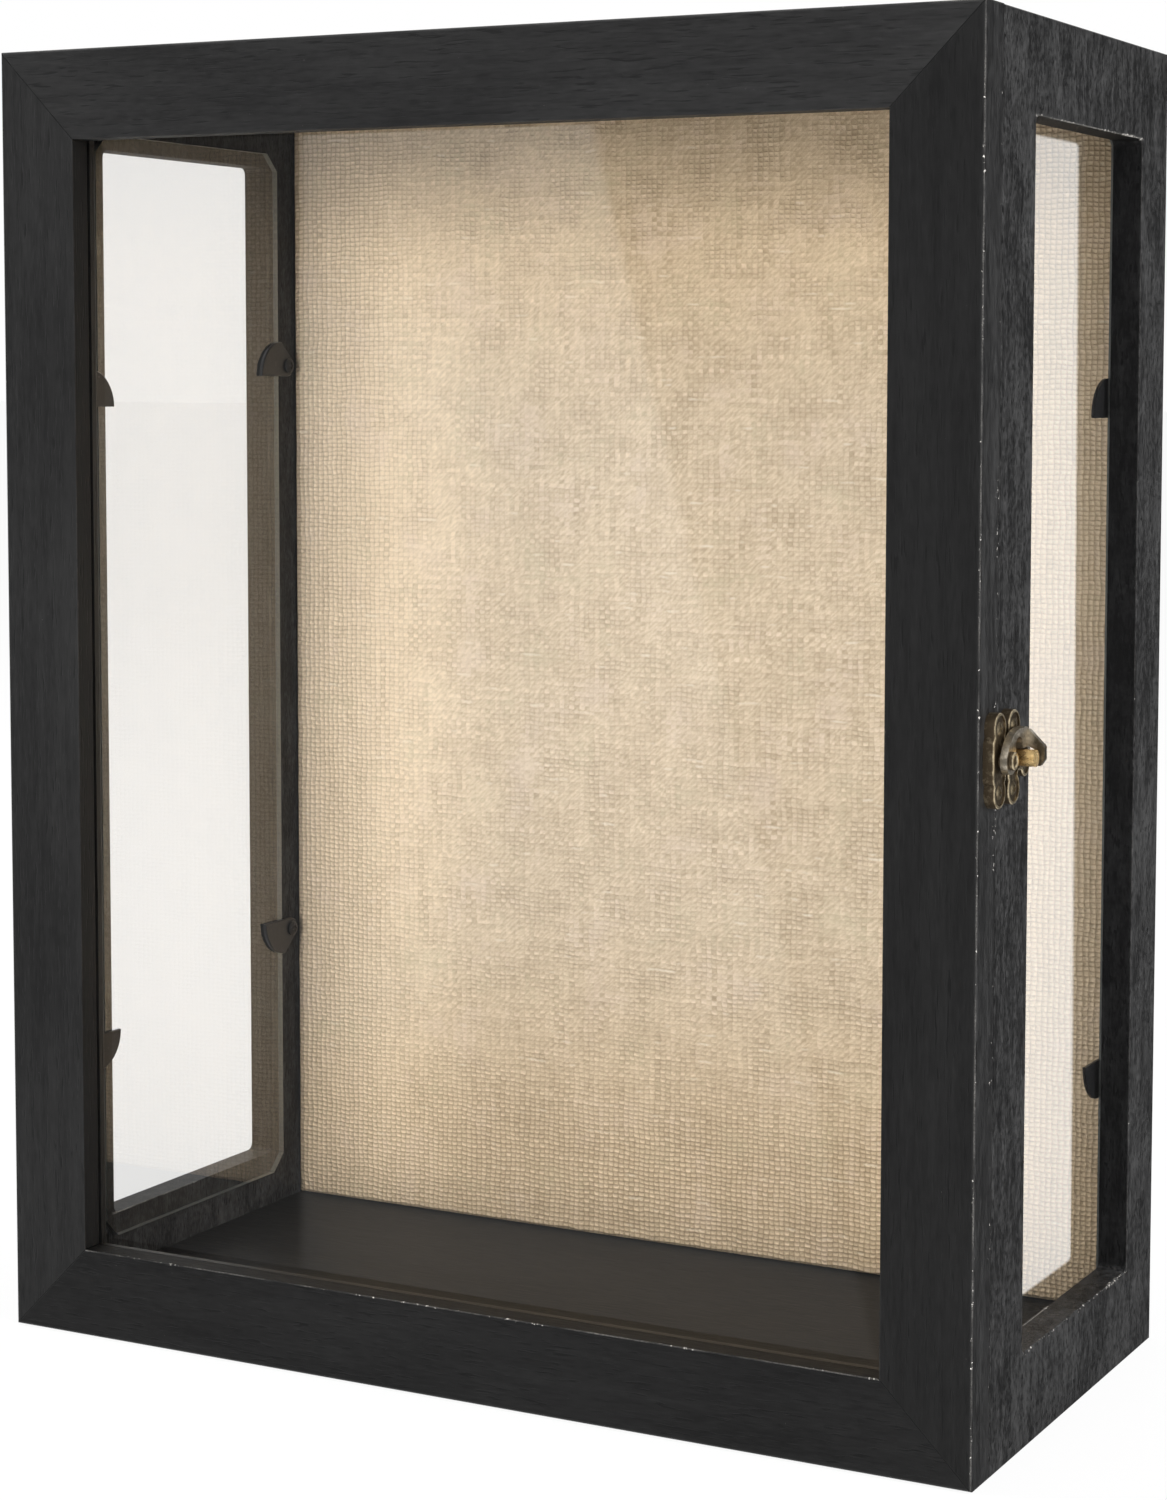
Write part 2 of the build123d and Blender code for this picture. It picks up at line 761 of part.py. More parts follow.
with BuildSketch() as door_plate_outline:
    with Locations((door_plate_y, latch_height)):
        RectangleRounded(door_plate_width, plate_body_height, plate_corner)
    with Locations(*[(door_lobe_y, latch_height + step * plate_lobe_offset) for step in (-1, 1)]):
        Circle(plate_lobe_radius)
    offset(amount=plate_waist_round)
    offset(amount=-plate_waist_round)

bridge_height = 2 * (stud_radius + stud_flange + plate_rim_width + stud_clearance)
ear_y = stud_y + case_plate_ear_setback
ear_places = [(ear_y, latch_height + step * case_plate_ear_spread) for step in (-1, 1)]

with BuildSketch() as case_plate_outline:
    with Locations((case_plate_front + case_plate_neck / 2, latch_height)):
        RectangleRounded(case_plate_neck, plate_body_height, plate_corner)
    with Locations(*[(case_lobe_y, latch_height + step * plate_lobe_offset) for step in (-1, 1)]):
        Circle(plate_lobe_radius)
    with Locations(((stud_y + ear_y) / 2, latch_height)):
        Rectangle(case_plate_ear_setback, bridge_height)
    with Locations(*ear_places):
        Circle(case_plate_ear_radius)
    offset(amount=plate_waist_round)
    offset(amount=-plate_waist_round)

latch_door_plate = dished_plate(door_plate_outline, latch_screw_planes(door_lobe_y))
latch_case_plate = dished_plate(case_plate_outline, latch_screw_planes(case_lobe_y))

hook_bottom = plate_face + rivet_washer_height + hook_running_gap
hook_top = hook_bottom + hook_thickness
tab_front = stud_setback + stud_radius + tab_clearance  # thumb tab, from the pivot
tab_back = tab_front + tab_thickness
throat_top = stud_radius + throat_clearance
web_edge = stud_setback - throat_web  # end of the web that rests over the stud
throat_spring = throat_rise - throat_width / 2 + 0.8  # where the opening begins to arch
shoulder = arch_rise - 1.3  # top of the hook where the tab begins
tab_top = hook_bottom + hook_thickness + tab_reach
tab_inner = tab_top - 2.9  # side of the tab that faces the wood, below the hook
foot_rise = tab_drop - 1.8

with BuildPart() as latch_hook:
    with BuildSketch(latch_plane.offset(hook_bottom)):
        with Locations((pivot_y, latch_height)):
            Circle(hook_eye_radius)
        with BuildLine(Location((pivot_y, latch_height, 0))):
            ThreePointArc((-hook_eye_radius, 0), (0.2, 0.75 * arch_rise), (arch_peak, arch_rise))
            ThreePointArc((arch_peak, arch_rise), (arch_peak + 3.4, arch_rise), (tab_back, shoulder))
            Polyline((tab_back, shoulder), (tab_back, -hook_end_drop), (tab_front, -hook_end_drop))
            Polyline((tab_front, -hook_end_drop), (tab_front, throat_top), (web_edge, throat_top))
            Line((web_edge, throat_top), (web_edge, throat_spring))
            ThreePointArc(
                (web_edge, throat_spring),
                (web_edge - throat_width / 2, throat_rise),
                (web_edge - throat_width, throat_spring),
            )
            Polyline((web_edge - throat_width, throat_spring), (3.2, 1.6), (-hook_eye_radius, 0))
        make_face()
    extrude(amount=hook_thickness)
    with BuildSketch(Plane.XZ.offset(-(pivot_y + tab_back))):
        with BuildLine(Location((case_width / 2, latch_height, 0))):
            Polyline(
                (hook_bottom, shoulder),
                (hook_top + 0.2, shoulder + 0.6),
                (tab_top, throat_top + 0.3),
                (tab_top, -foot_rise),
                (tab_top - 1.3, -tab_drop),
                (tab_inner, -tab_drop),
                (tab_inner, throat_top - 0.75),
                (hook_top + 0.2, throat_top + 0.2),
                (hook_bottom, throat_top + 0.2),
                close=True,
            )
        make_face()
    extrude(amount=tab_thickness)
    with Locations((case_width / 2 + hook_bottom, pivot_y, latch_height)):
        Cylinder(
            rivet_radius + hook_bore_clearance,
            3 * hook_thickness,
            rotation=(0, 90, 0),
            mode=Mode.SUBTRACT,
        )

rivet_top = hook_top + hook_running_gap + rivet_head_height
with BuildPart() as latch_rivet:
    with BuildSketch(Plane.XZ):
        with BuildLine():
            Polyline(
                (0, plate_face),
                (rivet_washer_radius, plate_face),
                (rivet_washer_radius, plate_face + rivet_washer_height),
                (rivet_radius, plate_face + rivet_washer_height),
                (rivet_radius, rivet_top - rivet_head_height),
                (rivet_head_radius, rivet_top - rivet_head_height),
                (rivet_head_radius, rivet_top - rivet_head_edge),
                (rivet_head_radius - rivet_head_edge, rivet_top),
                (rivet_dimple_radius, rivet_top),
                (rivet_dimple_radius - rivet_dimple_depth, rivet_top - rivet_dimple_depth),
                (0, rivet_top - rivet_dimple_depth),
                close=True,
            )
        make_face()
    revolve(axis=Axis.Z)

stud_top = plate_face + stud_height
with BuildPart() as latch_stud:
    with BuildSketch(Plane.XZ):
        with BuildLine():
            Polyline(
                (0, stud_top),
                (0, plate_face),
                (stud_radius + stud_flange, plate_face),
                (stud_radius + stud_flange, plate_face + stud_flange),
                (stud_radius, plate_face + stud_flange),
                (stud_radius, stud_top - stud_dome),
            )
            TangentArc((0, stud_top), (stud_radius, stud_top - stud_dome), tangent=(1, 0))
        make_face()
    revolve(axis=Axis.Z)

with BuildPart() as latch_pivot_rivet:
    with Locations(Plane((case_width / 2, pivot_y, latch_height), z_dir=(1, 0, 0))):
        add(latch_rivet.part)

with BuildPart() as latch_keeper_stud:
    with Locations(Plane((case_width / 2, stud_y, latch_height), z_dir=(1, 0, 0))):
        add(latch_stud.part)

with BuildPart() as latch_screw:
    add(latch_screw_blank.part)
    with Locations((0, 0, latch_screw_head_height)):
        Box(latch_recess_span, screw_slot, 2 * screw_slot_depth, mode=Mode.SUBTRACT)
        Box(screw_slot, latch_recess_span, 2 * screw_slot_depth, mode=Mode.SUBTRACT)

with BuildPart() as latch_door_screws:
    with Locations(*latch_screw_planes(door_lobe_y)):
        add(latch_screw.part)

with BuildPart() as latch_case_screws:
    with Locations(*latch_screw_planes(case_lobe_y)):
        add(latch_screw.part)

# =============================== OUTPUT ==============================================
pieces = {
    "door_top_rail": door_top_rail,
    "door_bottom_rail": door_bottom_rail,
    "door_left_stile": door_left_stile,
    "door_right_stile": door_right_stile,
    "door_dowels": door_dowels,
    "door_glass": door_glass,
    "bead_top": bead_top,
    "bead_bottom": bead_bottom,
    "bead_left": bead_left,
    "bead_right": bead_right,
    "case_left_wall": case_left_wall,
    "case_right_wall": case_right_wall,
    "case_bottom": case_bottom,
    "case_top": case_top,
    "case_dowels": case_dowels,
    "back_board": back_board,
    "back_brads": back_brads,
    "pin_board": pin_board,
    "linen_lining": linen_lining,
    "left_pane": left_pane,
    "right_pane": right_pane,
    "clip_screws": clip_screws,
    "hinge_door_screws": hinge_door_screws,
    "hinge_case_screws": hinge_case_screws,
    "latch_door_plate": latch_door_plate,
    "latch_case_plate": latch_case_plate,
    "latch_hook": latch_hook,
    "latch_pivot_rivet": latch_pivot_rivet,
    "latch_keeper_stud": latch_keeper_stud,
    "latch_door_screws": latch_door_screws,
    "latch_case_screws": latch_case_screws,
}
pieces |= {f"clip_{wall_side}_{row}_{level}": clip for (wall_side, row, level), clip in clips.items()}
pieces |= {f"hinge_{name}_{body}_leaf": leaf for (name, body), leaf in hinge_leaves.items()}
pieces |= {f"hinge_{name}_pin": pin for name, pin in hinge_pins.items()}

for name, piece in pieces.items():
    piece.part.label = name
    export_step(piece.part, f"parts/{name}.step")
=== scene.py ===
"""Looks of the butterfly display case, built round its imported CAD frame.

Each sub-assembly is a class that dresses its CAD nodes or builds its own pieces. Finishes are frozen
dataclasses that turn into node materials. Sizes are in metres, and places are in the part's own frame.
"""

from __future__ import annotations

import json
import logging
import math
from dataclasses import dataclass, field, replace
from enum import Enum
from functools import reduce
from typing import Any, Iterable, Union

import bpy
from mathutils import Euler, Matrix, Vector

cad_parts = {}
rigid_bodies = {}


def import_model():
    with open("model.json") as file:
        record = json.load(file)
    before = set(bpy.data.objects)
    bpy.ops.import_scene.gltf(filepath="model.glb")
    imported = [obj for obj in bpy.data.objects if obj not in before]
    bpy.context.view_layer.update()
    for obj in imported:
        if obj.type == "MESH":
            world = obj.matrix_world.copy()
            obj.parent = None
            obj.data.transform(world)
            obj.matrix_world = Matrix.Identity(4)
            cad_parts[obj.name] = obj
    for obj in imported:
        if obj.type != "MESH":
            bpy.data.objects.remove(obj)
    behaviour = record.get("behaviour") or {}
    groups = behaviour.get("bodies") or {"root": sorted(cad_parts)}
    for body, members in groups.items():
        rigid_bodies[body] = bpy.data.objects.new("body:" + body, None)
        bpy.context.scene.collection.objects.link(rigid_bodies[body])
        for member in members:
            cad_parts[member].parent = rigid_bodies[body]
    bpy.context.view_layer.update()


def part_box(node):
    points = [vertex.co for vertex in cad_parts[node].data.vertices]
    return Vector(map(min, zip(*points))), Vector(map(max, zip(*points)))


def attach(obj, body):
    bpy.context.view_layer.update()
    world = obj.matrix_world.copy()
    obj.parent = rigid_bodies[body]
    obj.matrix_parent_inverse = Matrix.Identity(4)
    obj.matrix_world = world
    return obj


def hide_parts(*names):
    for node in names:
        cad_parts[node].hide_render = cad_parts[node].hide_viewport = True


log = logging.getLogger("display_case")

MM = 0.001
Pair = tuple[float, float]
Triple = tuple[float, float, float]
Operand = Union["Wire", float, int]


class Axis(Enum):
    """A direction of the part's frame, by its place in a vector."""

    X = 0
    Y = 1
    Z = 2


# ---------------------------------------------------------------- node building


class Wire:
    """An output socket that takes part in Python arithmetic on numbers."""

    def __init__(self, bench: "Bench", socket: bpy.types.NodeSocket) -> None:
        """Keeps the tree that new nodes are added to and the output that the wire leaves."""
        self.bench = bench
        self.socket = socket

    def math(self, operation: str, *others: Operand, clamp: bool = False) -> "Wire":
        """A Math node on this value and the others, kept between 0 and 1 where `clamp` is set."""
        settings = {"operation": operation, "use_clamp": clamp}
        return self.bench.node("ShaderNodeMath", settings, dict(enumerate((self, *others))))

    def __add__(self, other: Operand) -> "Wire":
        """Sum."""
        return self.math("ADD", other)

    __radd__ = __add__

    def __sub__(self, other: Operand) -> "Wire":
        """Difference."""
        return self.math("SUBTRACT", other)

    def __rsub__(self, other: Operand) -> "Wire":
        """Difference from a number."""
        return self.bench.node("ShaderNodeMath", {"operation": "SUBTRACT"}, {0: other, 1: self})

    def __mul__(self, other: Operand) -> "Wire":
        """Product."""
        return self.math("MULTIPLY", other)

    __rmul__ = __mul__

    def __truediv__(self, other: Operand) -> "Wire":
        """Quotient."""
        return self.math("DIVIDE", other)

    def __pow__(self, other: Operand) -> "Wire":
        """Power."""
        return self.math("POWER", other)

    def __abs__(self) -> "Wire":
        """Size without sign."""
        return self.math("ABSOLUTE")

    def sine(self) -> "Wire":
        """Sine of an angle in radians."""
        return self.math("SINE")

    def floor(self) -> "Wire":
        """The whole number below."""
        return self.math("FLOOR")

    def clamped(self) -> "Wire":
        """The value kept between 0 and 1."""
        return self.math("ADD", 0.0, clamp=True)

    def least(self, other: Operand) -> "Wire":
        """The smaller of two."""
        return self.math("MINIMUM", other)

    def most(self, other: Operand) -> "Wire":
        """The larger of two."""
        return self.math("MAXIMUM", other)

    def rise(self, low: float, high: float) -> "Wire":
        """A smooth step.

        Args:
            low: where it leaves 0.
            high: where it reaches 1. It may be below `low`, for a fall.

        Returns:
            A value from 0 to 1.
        """
        turned = low > high
        settings = {"interpolation_type": "SMOOTHSTEP"}
        ends = {1: min(low, high), 2: max(low, high), 3: float(turned), 4: float(not turned)}
        return self.bench.node("ShaderNodeMapRange", settings, {0: self, **ends})


class Bench:
    """A node tree under construction."""

    def __init__(self, tree: bpy.types.NodeTree) -> None:
        """Starts on an empty tree."""
        self.tree = tree

    def node(
        self,
        kind: str,
        settings: dict[str, Any] | None = None,
        inputs: dict[int | str, Any] | None = None,
        output: int | str = 0,
    ) -> Wire:
        """Adds any node.

        Args:
            kind: the node's type.
            settings: its properties, set first.
            inputs: a value or a wire for each input, by name or place.
            output: the output to take, by name or place.

        Returns:
            The chosen output.
        """
        made = self.tree.nodes.new(kind)
        for name, value in (settings or {}).items():
            setattr(made, name, value)
        for key, value in (inputs or {}).items():
            socket = made.inputs[key]
            if isinstance(value, Wire):
                self.tree.links.new(value.socket, socket)
            else:
                socket.default_value = value
        return Wire(self, made.outputs[output])

    def end(self, kind: str, result: Wire) -> None:
        """Ends the tree in an output node that takes the result."""
        self.tree.links.new(result.socket, self.tree.nodes.new(kind).inputs[0])

    def mix(self, share: Operand, first: Wire | Triple, second: Wire | Triple, blend: str = "MIX") -> Wire:
        """Mixes two colours.

        Args:
            share: how much of the second.
            first: a colour or a wire.
            second: a colour or a wire.
            blend: the blend type.

        Returns:
            The mixed colour.
        """
        ends = [(*c, 1.0) if isinstance(c, tuple) else c for c in (first, second)]
        settings = {"data_type": "RGBA", "blend_type": blend}
        return self.node("ShaderNodeMix", settings, {0: share, 6: ends[0], 7: ends[1]}, 2)

    def vector(self, operation: str, *values: Wire | Triple, output: int | str = 0) -> Wire:
        """A Vector Math node."""
        return self.node("ShaderNodeVectorMath", {"operation": operation}, dict(enumerate(values)), output)

    def stretched(self, point: Wire, scale: Triple, offset: Triple = (0.0, 0.0, 0.0)) -> Wire:
        """The point scaled along each axis and then moved, for a pattern with a grain."""
        return self.node("ShaderNodeMapping", None, {"Vector": point, "Location": offset, "Scale": scale})

    def noise(self, point: Wire, scale: float, detail: float = 2.0, roughness: float = 0.5) -> Wire:
        """Smooth noise from 0 to 1, with `scale` features in each metre and `detail` octaves."""
        values = {"Vector": point, "Scale": scale, "Detail": detail, "Roughness": roughness}
        return self.node("ShaderNodeTexNoise", {"noise_dimensions": "3D"}, values)

    def split(self, point: Wire) -> tuple[Wire, Wire, Wire]:
        """The three parts of a vector."""
        outputs = self.node("ShaderNodeSeparateXYZ", None, {0: point}).socket.node.outputs
        return Wire(self, outputs[0]), Wire(self, outputs[1]), Wire(self, outputs[2])

    def join(self, x: Operand, y: Operand, z: Operand) -> Wire:
        """A vector from three numbers."""
        return self.node("ShaderNodeCombineXYZ", None, {0: x, 1: y, 2: z})

    def strongest(self, masks: Iterable[Wire]) -> Wire:
        """The largest of several masks, and 0 where there are none."""
        given = list(masks)
        return reduce(Wire.most, given) if given else self.node("ShaderNodeValue")

    def dot(self, first: Wire, second: Triple) -> Wire:
        """The dot product of a wire and a fixed vector."""
        return self.vector("DOT_PRODUCT", first, second, output="Value")

    def principled(self, colour: Wire, roughness: Operand, normal: Wire, **others: Operand) -> Wire:
        """A Principled shader.

        Args:
            colour: the base colour.
            roughness: from 0 to 1.
            normal: the bent normal.
            others: the other inputs, by their names with underscores for spaces.

        Returns:
            The shader's output.
        """
        values = {"Base Color": colour, "Roughness": roughness, "Normal": normal}
        values |= {name.replace("_", " "): value for name, value in others.items()}
        return self.node("ShaderNodeBsdfPrincipled", None, values)


class Finish:
    """Base of the finishes: a named node material made once and shared."""

    name: str
    _made: dict[str, bpy.types.Material] = {}

    def material(self) -> bpy.types.Material:
        """Builds the material at its first use.

        Returns:
            The finish as a material.
        """
        if self.name not in Finish._made:
            made = bpy.data.materials.new(self.name)
            made.use_nodes = True
            made.node_tree.nodes.clear()
            bench = Bench(made.node_tree)
            bench.end("ShaderNodeOutputMaterial", self.surface(bench))
            Finish._made[self.name] = made
        return Finish._made[self.name]

    def surface(self, bench: Bench) -> Wire:
        """Builds the shader in the material's tree and returns its output."""
        raise NotImplementedError

    @staticmethod
    def here(bench: Bench) -> Wire:
        """Position in the piece's own space."""
        return bench.node("ShaderNodeTexCoord", None, None, "Object")

    @staticmethod
    def bump(bench: Bench, height: Wire, depth: float, strength: float = 1.0) -> Wire:
        """The normal bent by a height whose 1 is `depth` metres deep."""
        values = {"Strength": strength, "Distance": depth, "Height": height}
        return bench.node("ShaderNodeBump", None, values)


@dataclass(frozen=True)
class Edge:
    """A straight edge of a board, where stain rubs off and a pale line paints part of the rounded edge's
    highlight.

    It runs along the axis that isn't named, through `at` on the two that are.
    """

    axes: tuple[Axis, Axis]
    at: Pair
    rubbed: float = 0.25  # how pale the thin line along it is, partly rubbed-through wear and partly a painted highlight on the rounded edge
    chips: float = 0.66  # noise level above which it is chipped; lower is more
    reach: float = 0.55 * MM  # how far a chip goes in
    radius: float = 0.6 * MM  # of the rounded edge
    span: Pair = (-1.0, 1.0)  # where it starts and ends

    @property
    def along(self) -> Axis:
        """The axis that the edge runs along."""
        return next(axis for axis in Axis if axis not in self.axes)


@dataclass(frozen=True)
class Seam:
    """A glued joint seen as a fine dark line, on the plane where the position along `normal` is `at`."""

    normal: Triple
    at: float
    width: float = 0.26 * MM


@dataclass(frozen=True)
class StainedWood(Finish):
    """Black satin stain on open-grained wood, rubbed through along its edges."""

    name: str
    grain: Axis
    edges: tuple[Edge, ...] = ()
    seams: tuple[Seam, ...] = ()
    dark: Triple = (0.0095, 0.0095, 0.0097)
    pale: Triple = (0.0240, 0.0240, 0.0242)
    bare_wood_and_highlight: Triple = (0.50, 0.48, 0.45)
    glue_line: Triple = (0.0010, 0.0010, 0.0010)
    streaks: float = 1.0  # how strongly the figure shows
    length: float = 1.0  # of the streaks, where less is shorter
    roughness: float = 0.46
    gloss: float = 0.24
    shift: float = 0.0  # moves the figure, so that no two boards match
    shade_and_end_grain_faces: tuple[Triple, ...] = ()  # normals of the faces darkened with painted shade, mostly the reveals round the openings; where they are end grain, partly the extra stain that it takes
    coarse: tuple[Triple, ...] = ()  # normals of the faces whose grain shows more
    coarse_dark: Triple = (0.004, 0.004, 0.0042)
    coarse_pale: Triple = (0.0265, 0.0265, 0.0268)
    coarse_streaks: float = 1.5
    rub_width: Pair = (0.03 * MM, 0.17 * MM)  # from the edge, where the pale line of wear and painted highlight is whole and gone
    chip_rim: float = 0.10 * MM  # over which a chip's border fades
    chip_band: float = 0.08  # of the noise, over which a chip grows to its full reach

    def surface(self, bench: Bench) -> Wire:
        """Grain, pores, rubbed edges and specks over a satin coat, with painted shade on the reveals and a
        painted highlight in the pale edge lines.

        Args:
            bench: the material's tree.

        Returns:
            The shader's output.
        """
        here = self.here(bench)
        offset = (self.shift, 0.37 * self.shift, 0.71 * self.shift)

        def along_grain(share: float) -> Wire:
            """The place with the grain's own direction shrunk to a share."""
            scale = tuple(min(1.0, share / self.length) if axis is self.grain else 1.0 for axis in Axis)
            return bench.stretched(here, scale, offset)

        fibres = bench.noise(along_grain(0.10), 1300.0, 4.0, 0.65)
        figure = bench.noise(along_grain(0.07), 300.0, 3.0, 0.6)
        wisps = bench.noise(along_grain(0.16), 620.0, 3.0, 0.65).rise(0.56, 0.78)
        broad = bench.noise(along_grain(0.3), 34.0, 3.0, 0.55)
        pores = bench.noise(along_grain(0.08), 1500.0, 1.0, 0.4).rise(0.60, 0.70)
        mottle = bench.noise(along_grain(0.45), 520.0, 3.0, 0.6)
        swing = (fibres - 0.5) * 1.5 + (figure - 0.5) * 1.2 + (mottle - 0.5) * 0.9
        swing = swing + wisps * broad * 0.9 - pores * 0.7
        coarse = self.facing(bench, self.coarse)
        streaks = coarse * (self.coarse_streaks - self.streaks) + self.streaks
        tone = (swing * streaks + (broad - 0.5) * 1.1 + 0.38).clamped()
        colour = bench.mix(tone, self.dark, self.pale)
        colour = bench.mix(coarse, colour, bench.mix(tone, self.coarse_dark, self.coarse_pale))
        # painted shade on the reveal faces, and on end grain the extra stain it takes
        reveal_shade_and_end_grain = self.facing(bench, self.shade_and_end_grain_faces)
        colour = bench.mix(reveal_shade_and_end_grain * 0.75, colour, tuple(0.4 * part for part in self.dark))

        wear_and_highlight = self.wear_and_highlight(bench, here, offset)
        colour = bench.mix(wear_and_highlight, colour, self.bare_wood_and_highlight)
        joint = self.joint(bench, here)
        colour = bench.mix(joint * 0.9, colour, self.glue_line)

        height = fibres * 0.55 + figure * 0.25 - pores * 0.8 - wear_and_highlight * 0.5 - joint * 1.5
        roughness = (self.roughness + (fibres - 0.5) * 0.25 + wear_and_highlight * 0.35 + reveal_shade_and_end_grain * 0.2).clamped()
        normal = self.bump(bench, height, 0.16 * MM, 0.55)
        return bench.principled(colour, roughness, normal, Specular_IOR_Level=self.gloss)

    def wear_and_highlight(self, bench: Bench, here: Wire, offset: Triple) -> Wire:
        """How far the stain is gone, together with a pale line along each edge that is partly wear and partly
        a painted highlight.

        Args:
            bench: the material's tree.
            here: the place.
            offset: the board's own shift.

        Returns:
            From 0 to 1.
        """
        shifted = bench.stretched(here, (1.0, 1.0, 1.0), offset)
        stretches = bench.noise(shifted, 60.0, 3.0, 0.65).rise(0.38, 0.66)
        chips = bench.noise(shifted, 780.0, 3.0, 0.65)
        ragged = bench.noise(here, 2400.0, 2.0, 0.6)
        worn = ragged.rise(0.34, 0.62)
        clusters = bench.noise(shifted, 55.0, 2.0, 0.5).rise(0.46, 0.64)
        wear_and_highlight = ragged.rise(0.78, 0.82) * clusters * 0.5
        parts = bench.split(here)
        for edge in self.edges:
            first = parts[edge.axes[0].value] - edge.at[0]
            second = parts[edge.axes[1].value] - edge.at[1]
            distance = (first * first + second * second) ** 0.5 - (math.sqrt(2.0) - 1.0) * edge.radius
            distance = distance.most(0.0)
            whole, gone = self.rub_width
            # the pale line along the edge: rubbed wear and a painted highlight on the rounded edge
            line = distance.rise(gone, whole) * (0.12 + stretches * 0.88) * (0.25 + worn * 0.75)
            often = edge.chips + self.chip_band - clusters * self.chip_band
            reach = (chips - often).rise(0.0, self.chip_band) * (0.3 + ragged * 1.4) * edge.reach
            chip = ((reach - distance) * (1.0 / self.chip_rim)).clamped()
            place = parts[edge.along.value]
            start, end = edge.span
            within = place.rise(start - MM, start) * place.rise(end + MM, end)
            wear_and_highlight = wear_and_highlight.most((line * edge.rubbed).most(chip) * within)
        return wear_and_highlight

    @staticmethod
    def facing(bench: Bench, normals: tuple[Triple, ...]) -> Wire:
        """1 on the faces with these normals and 0 elsewhere."""
        outwards = bench.node("ShaderNodeTexCoord", None, None, "Normal")
        return bench.strongest(bench.dot(outwards, normal).rise(0.5, 0.95) for normal in normals)

    def joint(self, bench: Bench, here: Wire) -> Wire:
        """1 on a glued joint and 0 elsewhere."""
        gaps = ((abs(bench.dot(here, seam.normal) - seam.at), seam.width) for seam in self.seams)
        return bench.strongest(gap.rise(width, 0.3 * width) for gap, width in gaps)


@dataclass(frozen=True)
class ClearGlass(Finish):
    """Thin clear sheet with ground edges. The sheet lies across one axis."""

    name: str
    across: Axis
    side: float  # which of the two faces carries both mirrors, by its normal
    mirror: float = 0.037  # share mirrored by each face, looked at squarely
    edge_colour: Triple = (0.085, 0.090, 0.085)
    body: Triple = (0.991, 0.990, 0.987)  # what each face lets through

    def surface(self, bench: Bench) -> Wire:
        """See-through faces that mirror by angle, and frosted edges.

        Args:
            bench: the material's tree.

        Returns:
            The shader's output.
        """
        facing = bench.node("ShaderNodeTexCoord", None, None, "Normal")
        behind = bench.node("ShaderNodeNewGeometry", None, None, "Backfacing")
        out = bench.split(facing)[self.across.value] * self.side * (1.0 - behind * 2.0)
        is_edge = abs(out).rise(0.8, 0.4)
        here = self.here(bench)
        clear = bench.node("ShaderNodeBsdfTransparent", None, {"Color": (*self.body, 1.0)})
        flat = bench.node("ShaderNodeNewGeometry", None, None, "True Normal")
        polish = {"Color": (1.0, 1.0, 1.0, 1.0), "Roughness": 0.0, "Normal": flat}
        mirror = bench.node("ShaderNodeBsdfAnisotropic", None, polish)
        turned_away = bench.node("ShaderNodeLayerWeight", None, {"Blend": 0.5}, "Facing")
        one = turned_away**5.0 * 0.96 + self.mirror  # Schlick's rise, the same from either side
        share = one * 2.0 / (one + 1.0) * out.rise(0.4, 0.6)
        sheet = bench.node("ShaderNodeMixShader", None, {0: share, 1: clear, 2: mirror})
        ripple = bench.noise(here, 900.0, 2.0)
        ground = bench.mix(ripple, self.edge_colour, tuple(0.75 * part for part in self.edge_colour))
        edge = bench.principled(ground, 0.28, self.bump(bench, ripple, 0.1 * MM, 0.4))
        return bench.node("ShaderNodeMixShader", None, {0: is_edge, 1: sheet, 2: edge})


@dataclass(frozen=True)
class AgedBrass(Finish):
    """Antiqued brass: brown in the hollows, rubbed to gold on what stands out."""

    name: str
    low: float  # place along X where it is brown
    high: float  # and where it is rubbed bright
    brown: Triple = (0.125, 0.094, 0.060)
    gold: Triple = (0.74, 0.62, 0.41)
    roughness: float = 0.40

    def surface(self, bench: Bench) -> Wire:
        """Blotched patina with bright high spots.

        Args:
            bench: the material's tree.

        Returns:
            The shader's output.
        """
        here = self.here(bench)
        x, _, _ = bench.split(here)
        blotch = bench.noise(here, 520.0, 4.0, 0.6)
        grit = bench.noise(here, 2600.0, 2.0, 0.6)
        raised = (x + (blotch - 0.5) * 0.5 * MM).rise(self.low, self.high)
        rubbed = (raised * 0.75 + (blotch - 0.52) * 1.6 + (grit - 0.5) * 0.5).clamped()
        colour = bench.mix(rubbed, self.brown, self.gold)
        roughness = (self.roughness + (0.5 - rubbed) * 0.22 + (grit - 0.5) * 0.2).clamped()
        normal = self.bump(bench, blotch * 0.6 + grit * 0.4, 0.12 * MM, 0.5)
        return bench.principled(colour, roughness, normal, Metallic=1.0)


@dataclass(frozen=True)
class BrightBrass(Finish):
    """Turned brass with fine tool rings."""

    name: str
    centre: Pair  # of the rings, in Y and Z
    root: float  # places along X between which a painted shadow at the root gives way to bright brass at its end
    end: float
    colour: Triple = (0.93, 0.66, 0.31)
    # the colour of the tarnish and of the painted shadow at the root
    tarnish_and_painted_shadow: Triple = (0.32, 0.19, 0.07)
    rings: float = 16000.0  # radians of tool mark in each metre off the centre

    def surface(self, bench: Bench) -> Wire:
        """Rings about the stud's own axis and a little tarnish.

        Args:
            bench: the material's tree.

        Returns:
            The shader's output.
        """
        here = self.here(bench)
        x, y, z = bench.split(here)
        across, up = y - self.centre[0], z - self.centre[1]
        ring = ((across * across + up * up) ** 0.5 * self.rings).sine()
        stain = bench.noise(here, 700.0, 3.0, 0.6).rise(0.42, 0.72)
        # a painted shadow towards the root, with a little tarnish
        painted_shadow_and_tarnish = x.rise(self.end, self.root).most(stain * 0.14)
        colour = bench.mix(painted_shadow_and_tarnish, self.colour, self.tarnish_and_painted_shadow)
        normal = self.bump(bench, ring * 0.5 + 0.5, 0.02 * MM, 0.3)
        return bench.principled(colour, 0.24 + stain * 0.2, normal, Metallic=0.85)


